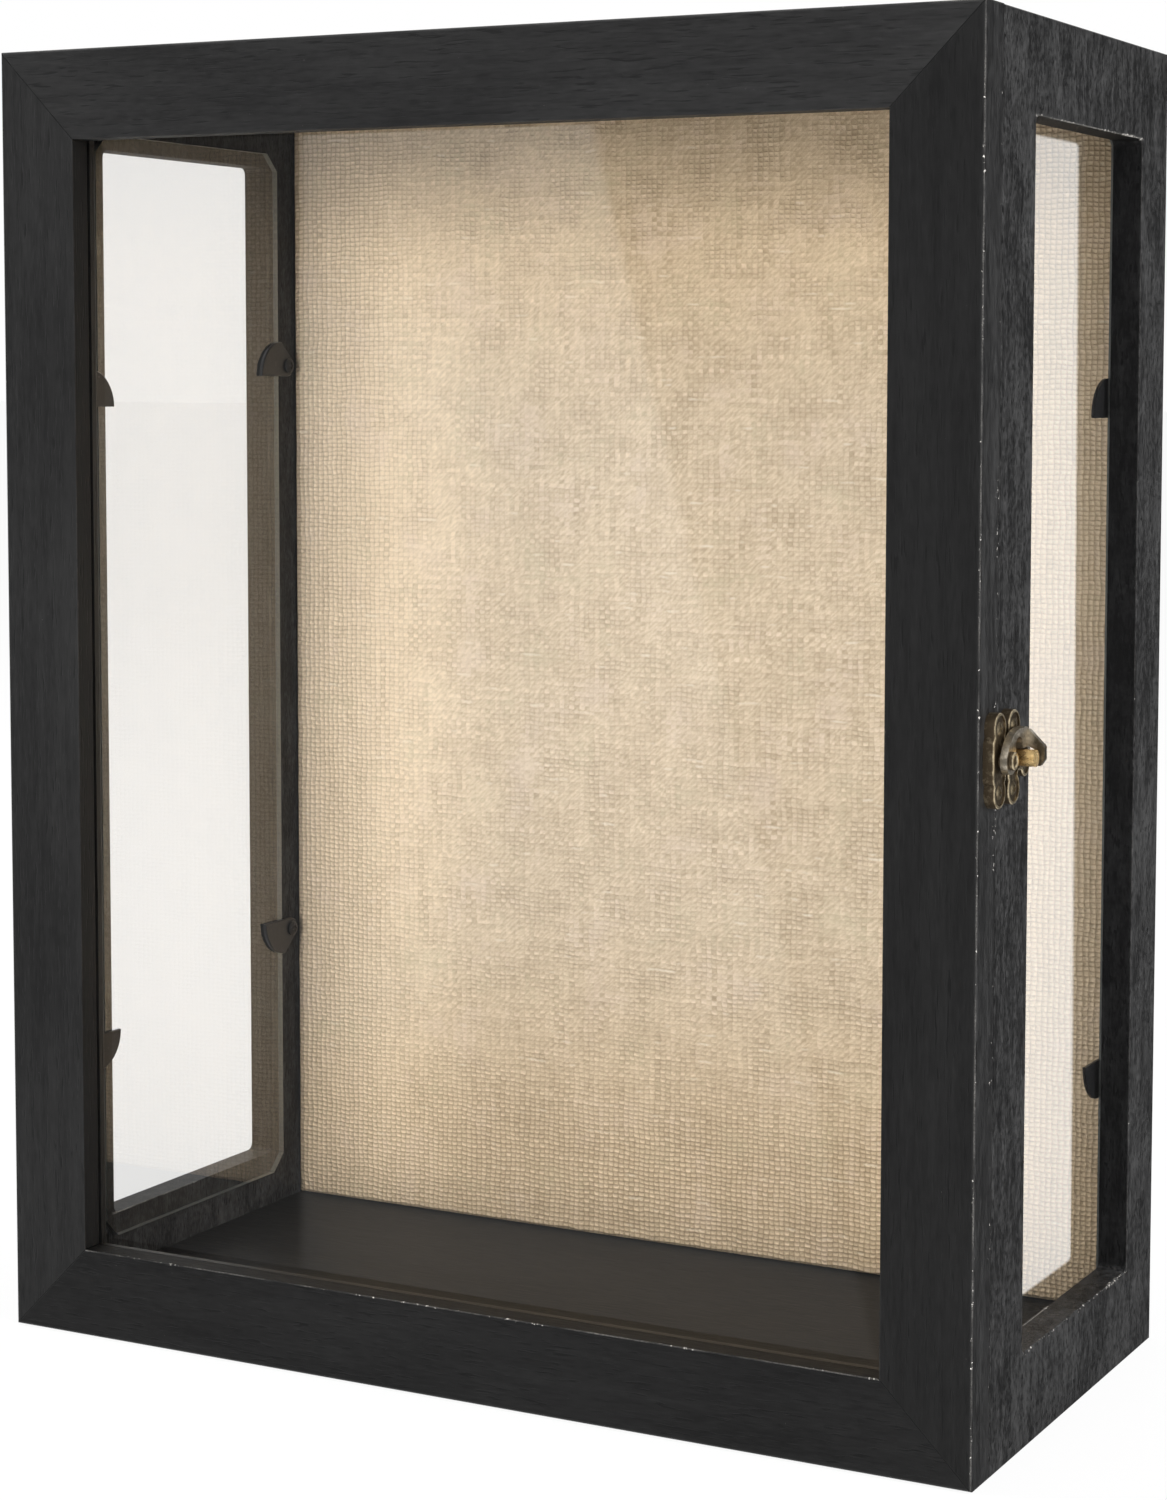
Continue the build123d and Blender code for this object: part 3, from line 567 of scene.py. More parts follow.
@dataclass(frozen=True)
class BlackEnamel(Finish):
    """Black enamel on pressed or drawn steel, thin at the edges."""

    name: str
    colour: Triple = (0.014, 0.014, 0.015)
    steel: Triple = (0.20, 0.20, 0.21)
    metal: float = 0.0
    roughness: float = 0.38

    def surface(self, bench: Bench) -> Wire:
        """Orange-peel enamel with scuffs down to grey steel.

        Args:
            bench: the material's tree.

        Returns:
            The shader's output.
        """
        here = self.here(bench)
        peel = bench.noise(here, 1500.0, 2.0, 0.5)
        scuff = bench.noise(here, 640.0, 4.0, 0.7).rise(0.60, 0.74)
        colour = bench.mix(scuff * 0.5, self.colour, self.steel)
        roughness = (self.roughness + (peel - 0.5) * 0.2 + scuff * 0.12).clamped()
        normal = self.bump(bench, peel, 0.05 * MM, 0.5)
        return bench.principled(colour, roughness, normal, Metallic=(scuff * 0.6 + self.metal).clamped())


@dataclass(frozen=True)
class Fibreboard(Finish):
    """Pressed fibreboard, fuzzy with short fibres."""

    name: str
    dark: Triple
    pale: Triple
    roughness: float = 0.78

    def surface(self, bench: Bench) -> Wire:
        """Matted fibres in every direction.

        Args:
            bench: the material's tree.

        Returns:
            The shader's output.
        """
        here = self.here(bench)
        fibres = bench.noise(bench.stretched(here, (1.0, 1.0, 0.3)), 1100.0, 4.0, 0.7)
        crossed = bench.noise(bench.stretched(here, (0.3, 1.0, 1.0)), 1100.0, 4.0, 0.7)
        clouds = bench.noise(here, 45.0, 3.0, 0.5)
        mat = (fibres.most(crossed) * 1.5 - 0.45 + (clouds - 0.5) * 0.5).clamped()
        colour = bench.mix(mat, self.dark, self.pale)
        return bench.principled(colour, self.roughness - mat * 0.12, self.bump(bench, mat, 0.12 * MM, 0.6))


@dataclass(frozen=True)
class BareBeech(Finish):
    """Bare dowel wood with the flecks of beech."""

    name: str
    pale: Triple = (0.58, 0.42, 0.27)
    dark: Triple = (0.42, 0.28, 0.16)

    def surface(self, bench: Bench) -> Wire:
        """Long grain with short flecks.

        Args:
            bench: the material's tree.

        Returns:
            The shader's output.
        """
        here = self.here(bench)
        grain = bench.noise(bench.stretched(here, (0.06, 1.0, 1.0)), 1400.0, 4.0, 0.6)
        colour = bench.mix(grain.rise(0.35, 0.7), self.pale, self.dark)
        return bench.principled(colour, 0.6 + (grain - 0.5) * 0.2, self.bump(bench, grain, 0.08 * MM, 0.5))


@dataclass(frozen=True)
class Linen(Finish):
    """Coarse plain-woven linen, read from the sheet's own UV map, which is in metres.

    Each pair of places on the sheet, off its middle, says where a change of tone starts and is whole: painted
    light at the sides, painted shade over the middle and under the top, a warm tint in the shade round the
    edges, and a more open weave towards the sides and foot.
    """

    name: str
    warp_pitch: float
    weft_pitch: float
    thread: Triple = (0.860, 0.712, 0.532)
    shade: Triple = (0.460, 0.358, 0.240)
    slub: Triple = (0.850, 0.745, 0.600)
    blush: Triple = (0.770, 0.630, 0.520)
    olive: Triple = (0.690, 0.610, 0.430)
    dust: Triple = (0.62, 0.55, 0.45)
    # a warm tint painted into the shade round the edges
    warm_shade_tint: Triple = (1.0, 0.945, 0.855)
    # painted shade over the middle of the linen
    painted_middle_shade: Triple = (0.79, 0.79, 0.79)
    # painted shadow under the top board
    painted_head_shadow: Triple = (0.87, 0.87, 0.87)
    straying: float = 1.6 * MM  # of the threads from their lines
    # where painted light comes in at the sides, and where near the top that light and the middle's painted
    # shade ease off
    painted_side_band_fade: Pair = (0.055, 0.145)
    painted_top_band_fade: Pair = (0.085, 0.170)
    # where the painted warm shade comes in towards the top and foot
    warm_shade_fade: Pair = (0.070, 0.170)
    # where the painted shadow under the top board starts and is whole
    head_shade: Pair = (0.130, 0.180)
    slack_sides: Pair = (0.085, 0.135)  # where the weave opens up
    slack_foot: Pair = (-0.11, -0.165)

    def surface(self, bench: Bench) -> Wire:
        """Over and under threads, each with its own tone, slubs and blotches.

        Args:
            bench: the material's tree.

        Returns:
            The shader's output.
        """
        flat = bench.node("ShaderNodeUVMap", {"uv_map": "cloth"}, None)
        drift = {"Vector": flat, "Scale": 95.0, "Detail": 2.0, "Roughness": 0.5}
        wander = bench.node("ShaderNodeTexNoise", {"noise_dimensions": "2D"}, drift, 1)
        wander = bench.vector("SUBTRACT", wander, (0.5, 0.5, 0.5))
        bent = bench.vector("MULTIPLY_ADD", wander, (self.straying, self.straying, 0.0), flat)
        s, t, _ = bench.split(bent)
        u, v = s / self.warp_pitch, t / self.weft_pitch
        wave_u, wave_v = (u * math.pi).sine(), (v * math.pi).sine()
        over = (wave_u * wave_v).rise(-0.16, 0.16)
        round_u, round_v = abs(wave_u), abs(wave_v)
        warp_height = round_u**0.7 * (0.35 + round_v * 0.65)
        weft_height = round_v**0.7 * (0.35 + round_u * 0.65)
        height = weft_height + (warp_height - weft_height) * over

        warp_body = bench.noise(bench.join(u.floor() * 0.731, t * 30.0, 3.0), 1.0, 3.0, 0.65)
        weft_body = bench.noise(bench.join(s * 30.0, v.floor() * 0.677, 9.0), 1.0, 3.0, 0.65)
        slubs = bench.noise(bench.join(s * 75.0, v.floor() * 0.677, 5.0), 1.0, 2.0, 0.6).rise(0.62, 0.72)
        body = weft_body + (warp_body - weft_body) * over
        yarn = bench.noise(flat, 2600.0, 2.0, 0.6)
        # a slanted crease pattern, whose tone is partly painted shading of the cloth's relief
        slant = {"Vector": flat, "Rotation": (0.0, 0.0, math.radians(40.0)), "Scale": (3.2, 1.0, 1.0)}
        creases_and_painted_shade = bench.noise(bench.node("ShaderNodeMapping", {"vector_type": "TEXTURE"}, slant), 1100.0, 2.0)
        # bands at the sides and near the top that steer the painted light and shade
        painted_side_band, top = abs(s).rise(*self.painted_side_band_fade), t.rise(*self.painted_top_band_fade)
        border = abs(s).rise(*self.slack_sides).most(t.rise(*self.slack_foot))
        open_weave = (bench.noise(flat, 80.0, 3.0, 0.6).rise(0.36, 0.70) * 0.85 + 0.12).most(border)
        clouds = bench.noise(flat, 13.0, 3.0, 0.55)
        warm = bench.noise(bench.stretched(flat, (1.0, 1.0, 1.0), (4.0, 2.0, 0.0)), 42.0, 2.0, 0.5)

        # painted shade in the hollows between threads, stronger where the weave is open
        painted_hollow_shade = (1.0 - height).rise(0.30, 0.90) * open_weave
        dash = (1.0 - over) * round_u**0.6 * round_v**0.5 * open_weave
        # the threads' own tone, with painted shading along the creases, painted light at the sides and
        # painted shade in the hollows
        lit = (body - 0.5) * 1.5 + (yarn - 0.5) * 0.25 + dash * 0.12 - over * open_weave * 0.08
        lit = lit + (creases_and_painted_shade - 0.5) * (1.5 - open_weave * 0.9) + painted_side_band * (0.35 - top * 0.26)
        lit = (lit + 0.57 + border * 0.08 - painted_hollow_shade * (border * 0.28 + 0.32)).clamped()
        colour = bench.mix(lit, self.shade, self.thread)
        colour = bench.mix(slubs * round_v**3.0 * 0.9, colour, self.slub)
        warm = warm * 0.6 + body * 0.4
        colour = bench.mix(warm.rise(0.52, 0.66) * 0.36, colour, self.blush)
        colour = bench.mix(warm.rise(0.47, 0.32) * 0.34, colour, self.olive)
        # painted warm shade round the edges, weaker at the sides
        warm_shade_mask = (painted_side_band * 0.6).most(abs(t).rise(*self.warm_shade_fade))
        colour = bench.mix(clouds.rise(0.35, 0.75) * 0.10, colour, self.dust, "MULTIPLY")
        colour = bench.mix(warm_shade_mask, colour, self.warm_shade_tint, "MULTIPLY")
        # painted shade over the middle, easing off towards the sides and the top
        colour = bench.mix(1.0 - painted_side_band.most(top * 0.55), colour, self.painted_middle_shade, "MULTIPLY")
        # painted shadow under the top board
        colour = bench.mix(t.rise(*self.head_shade), colour, self.painted_head_shadow, "MULTIPLY")
        relief = (height + dash * 0.3) * (0.7 + body * 0.6) * (0.2 + open_weave * 0.8)
        relief = relief + creases_and_painted_shade * 0.5 + slubs * 0.4 + yarn * 0.1
        normal = self.bump(bench, relief, 0.45 * MM, 0.9)
        return bench.principled(colour, 0.86 - lit * 0.06, normal, Specular_IOR_Level=0.25)


# ---------------------------------------------------------------- dressing CAD nodes


def dress(node: str, finish: Finish) -> None:
    """Gives a CAD node a finish through its material slots.

    Args:
        node: the node's name.
        finish: what it is covered with.
    """
    held = bpy.data.objects[node]
    if not held.material_slots:
        held.data.materials.append(None)
    for slot in held.material_slots:
        slot.material = finish.material()
    log.info("dressed %s with %s", node, finish.name)


@dataclass
class Door:
    """The mitred frame with its glass, beads and hidden dowels."""

    grain_contrast: float = 0.75

    def mitres(self) -> dict[str, Seam]:
        """The mitre planes, each of which starts at an outer corner of the frame.

        Returns:
            A seam for each corner, named by the two bars that meet there.
        """
        low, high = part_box("door_left_stile")
        left, bottom, top = low.x, low.z, high.z
        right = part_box("door_right_stile")[1].x
        half = math.sqrt(0.5)
        falling = (half, 0.0, half)  # across the mitres at top left and bottom right
        rising = (half, 0.0, -half)
        return {
            "top left": Seam(falling, half * (left + top)),
            "bottom right": Seam(falling, half * (right + bottom)),
            "top right": Seam(rising, half * (right - top)),
            "bottom left": Seam(rising, half * (left - bottom)),
        }

    def bar(self, side: str, shift: float, stain: float, edges: tuple[Edge, ...]) -> StainedWood:
        """The finish of one bar.

        Args:
            side: top, bottom, left or right.
            shift: moves its grain.
            stain: how much of the usual light it sends back; the differences between the bars are painted
                shade, darkest on the bottom rail and the right stile.
            edges: its worn edges.

        Returns:
            The finish.
        """
        inwards = {"top": (0, 0, -1), "bottom": (0, 0, 1), "left": (1, 0, 0), "right": (-1, 0, 0)}
        usual = StainedWood("usual", Axis.X)
        return StainedWood(
            name="black_wood_door_" + side,
            grain=Axis.X if side in ("top", "bottom") else Axis.Z,
            edges=edges,
            seams=tuple(seam for name, seam in self.mitres().items() if side in name),
            dark=tuple(stain * part for part in usual.dark),
            pale=tuple(stain * part for part in usual.pale),
            streaks=self.grain_contrast,
            shift=shift,
            # painted shade on the inner edges round the opening
            shade_and_end_grain_faces=(inwards[side],),
            coarse=(tuple(-part for part in inwards[side]),),
        )

    def dress(self) -> None:
        """Dresses the door's bars, each with its own run of grain and worn edges."""
        # each bar's last number darkens its colour: painted shade, strongest on the bottom rail and the right
        # stile
        bars = {
            "top": ("door_top_rail", 11.0, 0.86),
            "bottom": ("door_bottom_rail", 23.0, 0.50),
            "left": ("door_left_stile", 37.0, 0.78),
            "right": ("door_right_stile", 53.0, 0.48),
        }
        for side, (node, shift, stain) in bars.items():
            low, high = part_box(node)
            axis = Axis.Z if side in ("top", "bottom") else Axis.X
            outwards = side in ("top", "right")
            outer = (high if outwards else low)[axis.value]
            inner = (low if outwards else high)[axis.value]
            # the right stile's outer corner and the bottom rail's lip get the palest lines, wear and a
            # painted highlight on the rounded edge
            rubbed, chips = (0.17, 0.59) if side == "right" else (0.08, 0.68)
            corner = Edge((axis, Axis.Y), (outer, low.y), rubbed, chips, 0.35 * MM, 1.0 * MM)
            rubbed, chips = (0.20, 0.59) if side == "bottom" else (0.02, 0.74)
            lip = Edge((axis, Axis.Y), (inner, low.y), rubbed, chips, 0.35 * MM)
            joint = Edge((axis, Axis.Y), (outer, high.y), 0.0, 0.60 if side == "right" else 0.72, 2.2 * MM)
            dress(node, self.bar(side, shift, stain, (corner, lip, joint)))
        bead = {"top": Axis.X, "bottom": Axis.X, "left": Axis.Z, "right": Axis.Z}
        for side, grain in bead.items():
            dress("bead_" + side, StainedWood("black_wood_bead_" + side, grain, streaks=0.5, shift=5.0))
        dress("door_dowels", BareBeech("bare_beech"))
        dress("door_glass", ClearGlass("door_glass_sheet", Axis.Y, -1.0))


@dataclass
class Carcass:
    """The case's boards, back and dowels."""

    pane_overlap: float = 5.0 * MM  # over the wall, in front of and behind a window
    pane_end_overlap: float = 6.0 * MM  # above and below it
    pane_forward: float = 1.2 * MM
    pane_drop: float = 1.2 * MM

    def window_frame(self) -> tuple[float, float, float, float]:
        """The side windows' front, back, sill and head, from the panes that cover them.

        Returns:
            Two places along Y and two along Z.
        """
        low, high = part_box("right_pane")
        front = low.y + self.pane_overlap + self.pane_forward
        back = high.y - self.pane_overlap + self.pane_forward
        sill = low.z + self.pane_end_overlap + self.pane_drop
        head = high.z - self.pane_end_overlap + self.pane_drop
        return front, back, sill, head

    def wall_edges(self, node: str) -> tuple[Edge, ...]:
        """The worn edges of a side wall, outside and round its window.

        Args:
            node: the wall's name.

        Returns:
            Its edges.
        """
        low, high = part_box(node)
        face = high.x if high.x > 0 else low.x
        front, back, sill, head = self.window_frame()
        inside = low.x if high.x > 0 else high.x
        seen = (front, front + 0.5 * (back - front))
        upright = (Axis.X, Axis.Y)
        level = (Axis.X, Axis.Z)
        return (
            Edge(upright, (face, low.y), rubbed=0.02, chips=0.70, reach=0.35 * MM),
            Edge(upright, (face, high.y), rubbed=0.06, chips=0.70, reach=0.4 * MM),
            Edge(upright, (face, back), rubbed=0.05, chips=0.66, reach=0.4 * MM, span=(sill, head)),
            # the window head and the inside sill get the palest lines, wear and a painted highlight on their
            # rounded edges
            Edge(level, (face, head), rubbed=0.45, chips=0.50, reach=0.45 * MM, span=(front, back)),
            Edge(level, (face, sill), rubbed=0.03, chips=0.55, reach=0.65 * MM, span=(front, back)),
            Edge(level, (inside, sill), rubbed=0.55, chips=0.60, reach=0.4 * MM, span=seen),
            Edge(level, (face, high.z), rubbed=0.05, chips=0.70, reach=0.4 * MM),
            Edge(level, (face, low.z), rubbed=0.05, chips=0.70, reach=0.4 * MM),
        )

    def dress(self) -> None:
        """Dresses the boards, the back and the dowels."""
        wall = StainedWood(
            "wall",
            Axis.Z,
            dark=(0.004, 0.004, 0.0042),
            pale=(0.041, 0.041, 0.0414),
            streaks=1.5,
            length=0.35,
            roughness=0.5,
            gloss=0.18,
            # painted shade on the faces looking forward, back and down, such as the window reveals; the faces
            # looking down are partly end grain
            shade_and_end_grain_faces=((0, -1, 0), (0, 1, 0), (0, 0, -1)),
        )
        for node, shift in (("case_left_wall", 71.0), ("case_right_wall", 89.0)):
            dress(node, replace(wall, name="black_wood_" + node, edges=self.wall_edges(node), shift=shift))
        board = StainedWood(
            "board",
            Axis.X,
            dark=(0.0066, 0.0068, 0.0070),
            pale=(0.0166, 0.0171, 0.0176),
            streaks=0.6,
            roughness=0.5,
            gloss=0.10,
        )
        for node, shift in (("case_bottom", 101.0), ("case_top", 113.0)):
            low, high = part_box(node)
            places = ((low.y, high.z), (low.y, low.z), (high.y, high.z))
            edges = tuple(Edge((Axis.Y, Axis.Z), at, rubbed=0.06, chips=0.68) for at in places)
            dress(node, replace(board, name="black_wood_" + node, edges=edges, shift=shift))
        dress("case_dowels", BareBeech("bare_beech"))
        dress("back_board", Fibreboard("black_fibreboard", (0.012, 0.012, 0.012), (0.035, 0.034, 0.033)))
        dress("pin_board", Fibreboard("pinning_board", (0.42, 0.31, 0.19), (0.60, 0.47, 0.31)))
        dress("back_brads", BlackEnamel("blackened_steel", metal=0.5, roughness=0.45))
        for side, mirror in (("left", 0.078), ("right", 0.052)):
            glass = ClearGlass(side + "_glass_sheet", Axis.X, 1.0, mirror, edge_colour=(0.17, 0.18, 0.17))
            dress(side + "_pane", glass)


@dataclass
class Hardware:
    """Hinges, latch and turn clips.

    Each pair of heights off the side's wood says where the brass is brown and where it is rubbed.
    """

    plates: Pair = (2.78 * MM, 3.15 * MM)
    screws: Pair = (2.3 * MM, 3.2 * MM)
    # the hook is brown towards its tail's far end and brightest nearer the plate
    hook: Pair = (9.2 * MM, 6.6 * MM)
    rivet: Pair = (6.75 * MM, 7.15 * MM)
    # for the stud, where its painted root shadow is darkest and where it has gone
    stud: Pair = (5.5 * MM, 8.8 * MM)
    hinges: Pair = (1.0 * MM, 3.5 * MM)

    def dress(self) -> None:
        """Dresses the metal."""
        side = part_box("case_right_wall")[1].x

        def aged(name: str, heights: Pair, *tones: Triple) -> AgedBrass:
            """Aged brass on the right side, by its name, heights and tones."""
            return AgedBrass("aged_brass_" + name, side + heights[0], side + heights[1], *tones)

        screws = aged("screws", self.screws, (0.070, 0.052, 0.034), (0.56, 0.46, 0.30))
        plates = aged("plates", self.plates)
        low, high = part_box("latch_keeper_stud")
        middle, (root, end) = (low + high) / 2, self.stud
        finishes = {
            "latch_door_plate": plates,
            "latch_case_plate": plates,
            "latch_door_screws": screws,
            "latch_case_screws": screws,
            "latch_hook": aged("hook", self.hook, (0.130, 0.110, 0.078), (0.66, 0.59, 0.48)),
            "latch_pivot_rivet": aged("rivet", self.rivet),
            "latch_keeper_stud": BrightBrass("turned_brass", (middle.y, middle.z), side + root, side + end),
        }
        hinge = AgedBrass("aged_brass_hinges", *(-side - height for height in self.hinges), roughness=0.36)
        clip = BlackEnamel("clip_enamel")
        for node in sorted(held.name for held in bpy.data.objects):
            if node.startswith("hinge_"):
                finishes[node] = hinge
            elif node.startswith("clip_"):
                finishes[node] = clip
        finishes["clip_screws"] = BlackEnamel("clip_screw_black", metal=0.4)
        for node, finish in finishes.items():
            dress(node, finish)


# ---------------------------------------------------------------- the linen lining


@dataclass
class LinenLining:
    """Woven linen stretched over the pinning board and turned round its edges."""

    warp_pitch: float = 2.0 * MM
    weft_pitch: float = 1.6 * MM
    relief: float = 0.10 * MM
    turn_radius: float = 0.8 * MM
    lumps: float = 170.0  # uneven places in a metre
    lump_share: float = 1.6  # of the relief
    bend_fade: float = 0.4 * MM  # drop over which the relief ends
    corner_slack: float = 0.3 * MM
    finish: Linen = field(init=False)

    def __post_init__(self) -> None:
        """Sets the finish to the same thread pitch as the mesh."""
        self.finish = Linen("natural_linen", self.warp_pitch, self.weft_pitch)

    def build(self) -> bpy.types.Object:
        """Returns:
            The finished piece.
        """
        low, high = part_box("linen_lining")
        width, height, depth = high.x - low.x, high.z - low.z, high.y - low.y
        middle = (low + high) / 2
        across = 2 * round((width + 2 * depth) / (2 * self.warp_pitch))
        up = 2 * round((height + 2 * depth) / (2 * self.weft_pitch))
        tree = self.tree()
        holder = bpy.data.objects.new("linen_seed", bpy.data.meshes.new("linen_seed"))
        bpy.context.scene.collection.objects.link(holder)
        modifier = holder.modifiers.new("weave", "NODES")
        modifier.node_group = tree
        values = {
            "Width": width,
            "Height": height,
            "Turn": depth - self.turn_radius,
            "Relief": self.relief,
            "Columns": across + 1,
            "Rows": up + 1,
            "Radius": self.turn_radius,
            "Middle": (middle.x, low.y, middle.z),
            "Linen": self.finish.material(),
        }
        for item in tree.interface.items_tree:
            if item.item_type == "SOCKET" and item.in_out == "INPUT":
                modifier[item.identifier] = values[item.name]
        seen = bpy.context.evaluated_depsgraph_get()
        holder.update_tag()
        bpy.context.view_layer.update()
        mesh = bpy.data.meshes.new_from_object(holder.evaluated_get(seen))
        bpy.data.objects.remove(holder)
        mesh.name = "linen_cloth"
        piece = bpy.data.objects.new("linen_cloth", mesh)
        bpy.context.scene.collection.objects.link(piece)
        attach(piece, "case")
        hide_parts("linen_lining")
        turn = depth - self.turn_radius + self.turn_radius * math.pi / 2
        flat = (width - 2 * self.turn_radius + 2 * turn, height - 2 * self.turn_radius + 2 * turn)
        area = flat[0] * flat[1] - 4 * turn * turn
        log.info("built linen_cloth, %d threads by %d, %d faces", across, up, len(mesh.polygons))
        return piece

    def tree(self) -> bpy.types.NodeTree:
        """The Geometry Nodes tree of the sheet.

        Returns:
            A tree with named inputs that ends in Realize Instances and Set Material.
        """
        tree = bpy.data.node_groups.new("linen_sheet", "GeometryNodeTree")
        kinds = dict.fromkeys(("Width", "Height", "Turn", "Relief", "Radius"), "NodeSocketFloat")
        kinds |= dict.fromkeys(("Columns", "Rows"), "NodeSocketInt")
        kinds |= {"Middle": "NodeSocketVector", "Linen": "NodeSocketMaterial"}
        for name, kind in kinds.items():
            tree.interface.new_socket(name, in_out="INPUT", socket_type=kind)
        tree.interface.new_socket("Geometry", in_out="OUTPUT", socket_type="NodeSocketGeometry")
        bench = Bench(tree)
        group = tree.nodes.new("NodeGroupInput")
        given = {name: Wire(bench, group.outputs[name]) for name in kinds}
        radius, arc = given["Radius"], given["Radius"] * (math.pi / 2)
        half_width = given["Width"] * 0.5 - radius
        half_height = given["Height"] * 0.5 - radius
        turn = given["Turn"] + arc
        grid = bench.node(
            "GeometryNodeMeshGrid",
            None,
            {
                "Size X": (half_width + turn) * 2.0,
                "Size Y": (half_height + turn) * 2.0,
                "Vertices X": given["Columns"],
                "Vertices Y": given["Rows"],
            },
        )
        place = bench.node("GeometryNodeInputPosition")
        s, t, _ = bench.split(place)
        named = bench.node(
            "GeometryNodeStoreNamedAttribute",
            {"data_type": "FLOAT2", "domain": "CORNER"},
            {"Geometry": grid, "Name": "cloth", "Value": bench.join(s, t, 0.0)},
        )

        def folded(flat: Wire, half: Wire) -> tuple[Wire, Wire]:
            """Bends one direction of the sheet round the board's edge.

            Args:
                flat: place across the flat sheet.
                half: where the bend begins.

            Returns:
                The place across the board, and the drop behind its face.
            """
            past = (abs(flat) - half).most(0.0)
            angle = (past / radius).least(math.pi / 2)
            side = flat.math("SIGN")
            straight = (past - arc).most(0.0)
            across = (abs(flat).least(half) + angle.sine() * radius) * side
            drop = radius - angle.math("COSINE") * radius + straight
            return across, drop

        x, drop_x = folded(s, half_width)
        z, drop_z = folded(t, half_height)
        index = bench.node("GeometryNodeInputIndex")
        column = (index / given["Rows"]).floor()
        row = index - column * given["Rows"]
        odd = (column + row).math("MODULO", 2.0) * 2.0 - 1.0
        lump = bench.noise(bench.join(s, t, 0.0), self.lumps) - 0.5
        on_face = 1.0 - (drop_x + drop_z).rise(0.0, self.bend_fade)
        lift = (odd + lump * self.lump_share) * given["Relief"] * on_face
        middle_x, middle_y, middle_z = bench.split(given["Middle"])
        spot = bench.join(middle_x + x, middle_y + drop_x.most(drop_z) + lift + given["Relief"], middle_z + z)
        folded_sheet = bench.node("GeometryNodeSetPosition", None, {"Geometry": named, "Position": spot})
        outside = (abs(s) - half_width).least(abs(t) - half_height)
        corner = outside.math("GREATER_THAN", self.corner_slack)
        trimmed = bench.node(
            "GeometryNodeDeleteGeometry", {"domain": "FACE"}, {"Geometry": folded_sheet, "Selection": corner}
        )
        smooth = bench.node("GeometryNodeSetShadeSmooth", None, {"Geometry": trimmed})
        turned = bench.node("GeometryNodeFlipFaces", None, {0: smooth})
        whole = bench.node("GeometryNodeRealizeInstances", None, {0: turned})
        clad = bench.node("GeometryNodeSetMaterial", None, {"Geometry": whole, "Material": given["Linen"]})
        out = tree.nodes.new("NodeGroupOutput")
        tree.links.new(clad.socket, out.inputs[0])
        return tree


# ---------------------------------------------------------------- studio


@dataclass(frozen=True)
class Card:
    """A card far off, seen only in mirrors, with slightly rounded corners."""

    corners: tuple[Triple, ...]  # directions from the case, in order round the card
    level: float  # how bright it is
    # heights of the direction between which it rises and falls
    fade: tuple[float, float, float, float] = (-3.0, -2.0, 2.0, 3.0)
    soft: float = 0.0008
    corner: float = 0.0016  # radius in radians

    def mask(self, bench: Bench, way: Wire) -> Wire:
        """How much of the card lies in a direction.

        Args:
            bench: the world's tree.
            way: the direction.

        Returns:
            From 0 to 1.
        """
        middle = sum((Vector(corner) for corner in self.corners), Vector())
        short: Wire | float = 0.0
        for start, end in zip(self.corners, self.corners[1:] + self.corners[:1]):
            inward = Vector(end).cross(Vector(start)).normalized()
            inward *= math.copysign(1.0, inward.dot(middle))
            lack = (self.corner - bench.dot(way, tuple(inward))).most(0.0)
            short = lack * lack + short
        return ((self.corner - short**0.5) / self.soft).clamped()


@dataclass(frozen=True)
class PaleFloor(Finish):
    """White to the eye but for the object's own shadow, and plain grey to light."""

    name: str
    glow: float = 0.905
    matt: Triple = (0.08, 0.08, 0.08)
    plain: Triple = (0.62, 0.62, 0.61)

    def surface(self, bench: Bench) -> Wire:
        """A glowing floor for the eye and a matt one for the light that it sends back.

        Args:
            bench: the material's tree.

        Returns:
            The shader's output.
        """
        path = bench.node("ShaderNodeLightPath").socket.node.outputs
        kinds = [Wire(bench, path[k]) for k in ("Is Camera Ray", "Is Glossy Ray", "Is Transmission Ray")]
        seen = (kinds[0] + kinds[1] + kinds[2]).clamped()
        matt = bench.node("ShaderNodeBsdfDiffuse", None, {"Color": (*self.matt, 1.0)})
        plain = bench.node("ShaderNodeBsdfDiffuse", None, {"Color": (*self.plain, 1.0)})
        white = {"Color": (1.0, 1.0, 1.0, 1.0), "Strength": self.glow}
        glow = bench.node("ShaderNodeEmission", None, white)
        bright = bench.node("ShaderNodeAddShader", None, {0: matt, 1: glow})
        return bench.node("ShaderNodeMixShader", None, {0: seen, 1: plain, 2: bright})


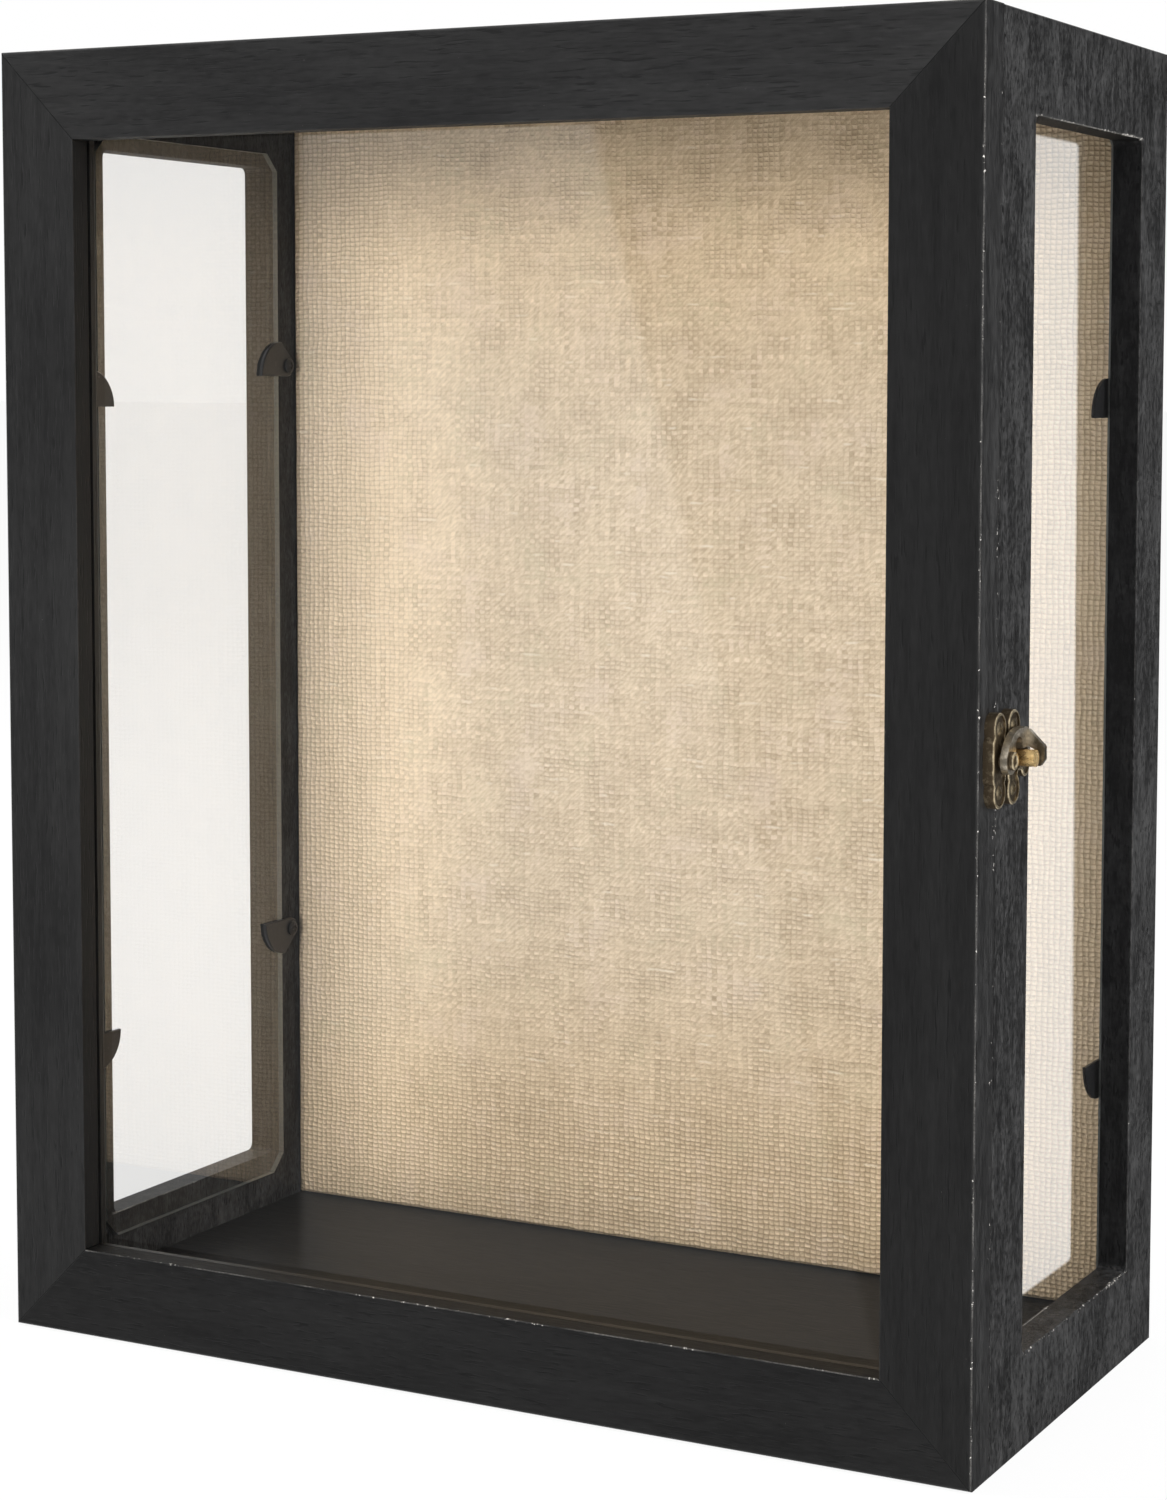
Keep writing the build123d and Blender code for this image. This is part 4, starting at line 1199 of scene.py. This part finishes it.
@dataclass
class Studio:
    """Floor, world, lamps and camera."""

    lens: float = 72.591
    shift: Pair = (-0.10100, -0.09667)
    eye: Triple = (0.47177, -0.84511, 0.30959)
    turn: Triple = (85.7522, -0.2564, 26.2729)  # degrees about X, Y and Z
    sky: Pair = (0.50, 0.14)  # light from the horizon, and what straight up adds
    cards: tuple[Card, ...] = (
        Card(  # a dim room in front
            corners=((-0.9, -0.42, 0.4), (-0.9, -0.42, -0.55), (-0.05, -0.9, -0.55), (-0.05, -0.9, 0.4)),
            level=0.12,
            soft=0.05,
            corner=0.06,
        ),
        Card(  # a pale screen in the room, mirrored in the door's glass
            corners=(
                (-0.55411, -0.80869, 0.19746),
                (-0.53197, -0.77048, -0.35124),
                (-0.36156, -0.86287, -0.35318),
                (-0.49745, -0.84432, 0.19916),
            ),
            level=0.92,
            fade=(-0.42, 0.06, 0.08, 0.17),
            soft=0.003,
            corner=0.0035,
        ),
        Card(  # a dim room behind on the right
            corners=((0.06, 0.99, 0.45), (0.06, 0.99, -0.7), (0.86, 0.4, -0.7), (0.86, 0.4, 0.45)),
            level=0.07,
            soft=0.04,
            corner=0.05,
        ),
        Card(  # a window behind on the right, mirrored in the right pane
            corners=(
                (0.33847, 0.93778, 0.07747),
                (0.32375, 0.90339, -0.28119),
                (0.37005, 0.87203, -0.32036),
                (0.39240, 0.91542, 0.08955),
            ),
            level=1.62,
        ),
    )

    def camera(self) -> None:
        """Stands the camera up and makes it the scene's."""
        data = bpy.data.cameras.new("studio_camera")
        data.lens, data.sensor_width, data.sensor_fit = self.lens, 36.0, "AUTO"
        data.shift_x, data.shift_y = self.shift
        data.clip_start, data.clip_end = 0.02, 50.0
        data.dof.use_dof = False
        camera = bpy.data.objects.new("studio_camera", data)
        camera.location = self.eye
        camera.rotation_euler = Euler([math.radians(a) for a in self.turn])
        bpy.context.scene.collection.objects.link(camera)
        bpy.context.scene.camera = camera

    def lamp(self, name: str, at: Triple, aim: Triple, size: Pair, power: float) -> None:
        """Adds a soft box.

        Args:
            name: its name.
            at: where it hangs.
            aim: the point that it faces.
            size: width and height.
            power: in watts.
        """
        data = bpy.data.lights.new(name, "AREA")
        data.shape, data.size, data.size_y = "RECTANGLE", size[0], size[1]
        data.energy = power
        lamp = bpy.data.objects.new(name, data)
        lamp.location = at
        lamp.rotation_euler = (Vector(aim) - Vector(at)).to_track_quat("-Z", "Y").to_euler()
        lamp.visible_glossy = False
        bpy.context.scene.collection.objects.link(lamp)

    def lamps(self) -> None:
        """Hangs the soft boxes."""
        self.lamp("key_softbox", (0.22, -2.4, 0.42), (0.0, 0.0, 0.22), (1.2, 0.8), 39.0)
        self.lamp("side_softbox", (2.3, -0.5, 1.0), (0.1, 0.0, 0.2), (1.2, 1.6), 68.0)
        self.lamp("fill_softbox", (-2.3, -0.5, 0.8), (-0.1, 0.0, 0.2), (1.2, 1.6), 74.0)
        self.lamp("top_softbox", (0.0, 0.3, 2.4), (0.0, 0.0, 0.2), (1.6, 1.6), 16.0)

    def floor(self) -> None:
        """Lays a pale floor that keeps the object's shadow and is white to the eye."""
        size = 30.0
        mesh = bpy.data.meshes.new("pale_floor")
        corners = [(-size, -size, 0.0), (size, -size, 0.0), (size, size, 0.0), (-size, size, 0.0)]
        mesh.from_pydata(corners, [], [(0, 1, 2, 3)])
        floor = bpy.data.objects.new("pale_floor", mesh)
        bpy.context.scene.collection.objects.link(floor)
        mesh.materials.append(PaleFloor("pale_floor").material())
        floor.visible_glossy = False

    def world(self) -> None:
        """A surround that is white to the eye, with cards that only mirrors show."""
        world = bpy.data.worlds.new("studio")
        bpy.context.scene.world = world
        world.use_nodes = True
        world.node_tree.nodes.clear()
        bench = Bench(world.node_tree)
        way = bench.node("ShaderNodeTexCoord", None, None, "Generated")
        _, _, z = bench.split(way)
        path = bench.node("ShaderNodeLightPath").socket.node.outputs
        eye = Wire(bench, path["Is Camera Ray"])
        glossy = Wire(bench, path["Is Glossy Ray"])

        mirrored: Wire | float = 1.0
        for card in self.cards:
            rise, whole, falls, gone = card.fade
            share = card.mask(bench, way) * z.rise(rise, whole) * z.rise(gone, falls)
            mirrored = share * (card.level - mirrored) + mirrored
        lit = self.sky[0] + z * self.sky[1]
        strength = eye + (1.0 - eye) * (glossy * mirrored + (1.0 - glossy) * lit)
        glow = {"Color": (1.0, 1.0, 1.0, 1.0), "Strength": strength}
        bench.end("ShaderNodeOutputWorld", bench.node("ShaderNodeBackground", None, glow))

    def build(self) -> None:
        """Sets the whole studio up."""
        self.camera()
        self.lamps()
        self.floor()
        self.world()
        bpy.context.scene.view_settings.view_transform = "Standard"


def main() -> None:
    """Builds the scene in order."""
    logging.basicConfig(level=logging.INFO, format="%(name)s: %(message)s")
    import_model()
    Door().dress()
    Carcass().dress()
    Hardware().dress()
    LinenLining().build()
    Studio().build()


if __name__ == "__main__":
    main()
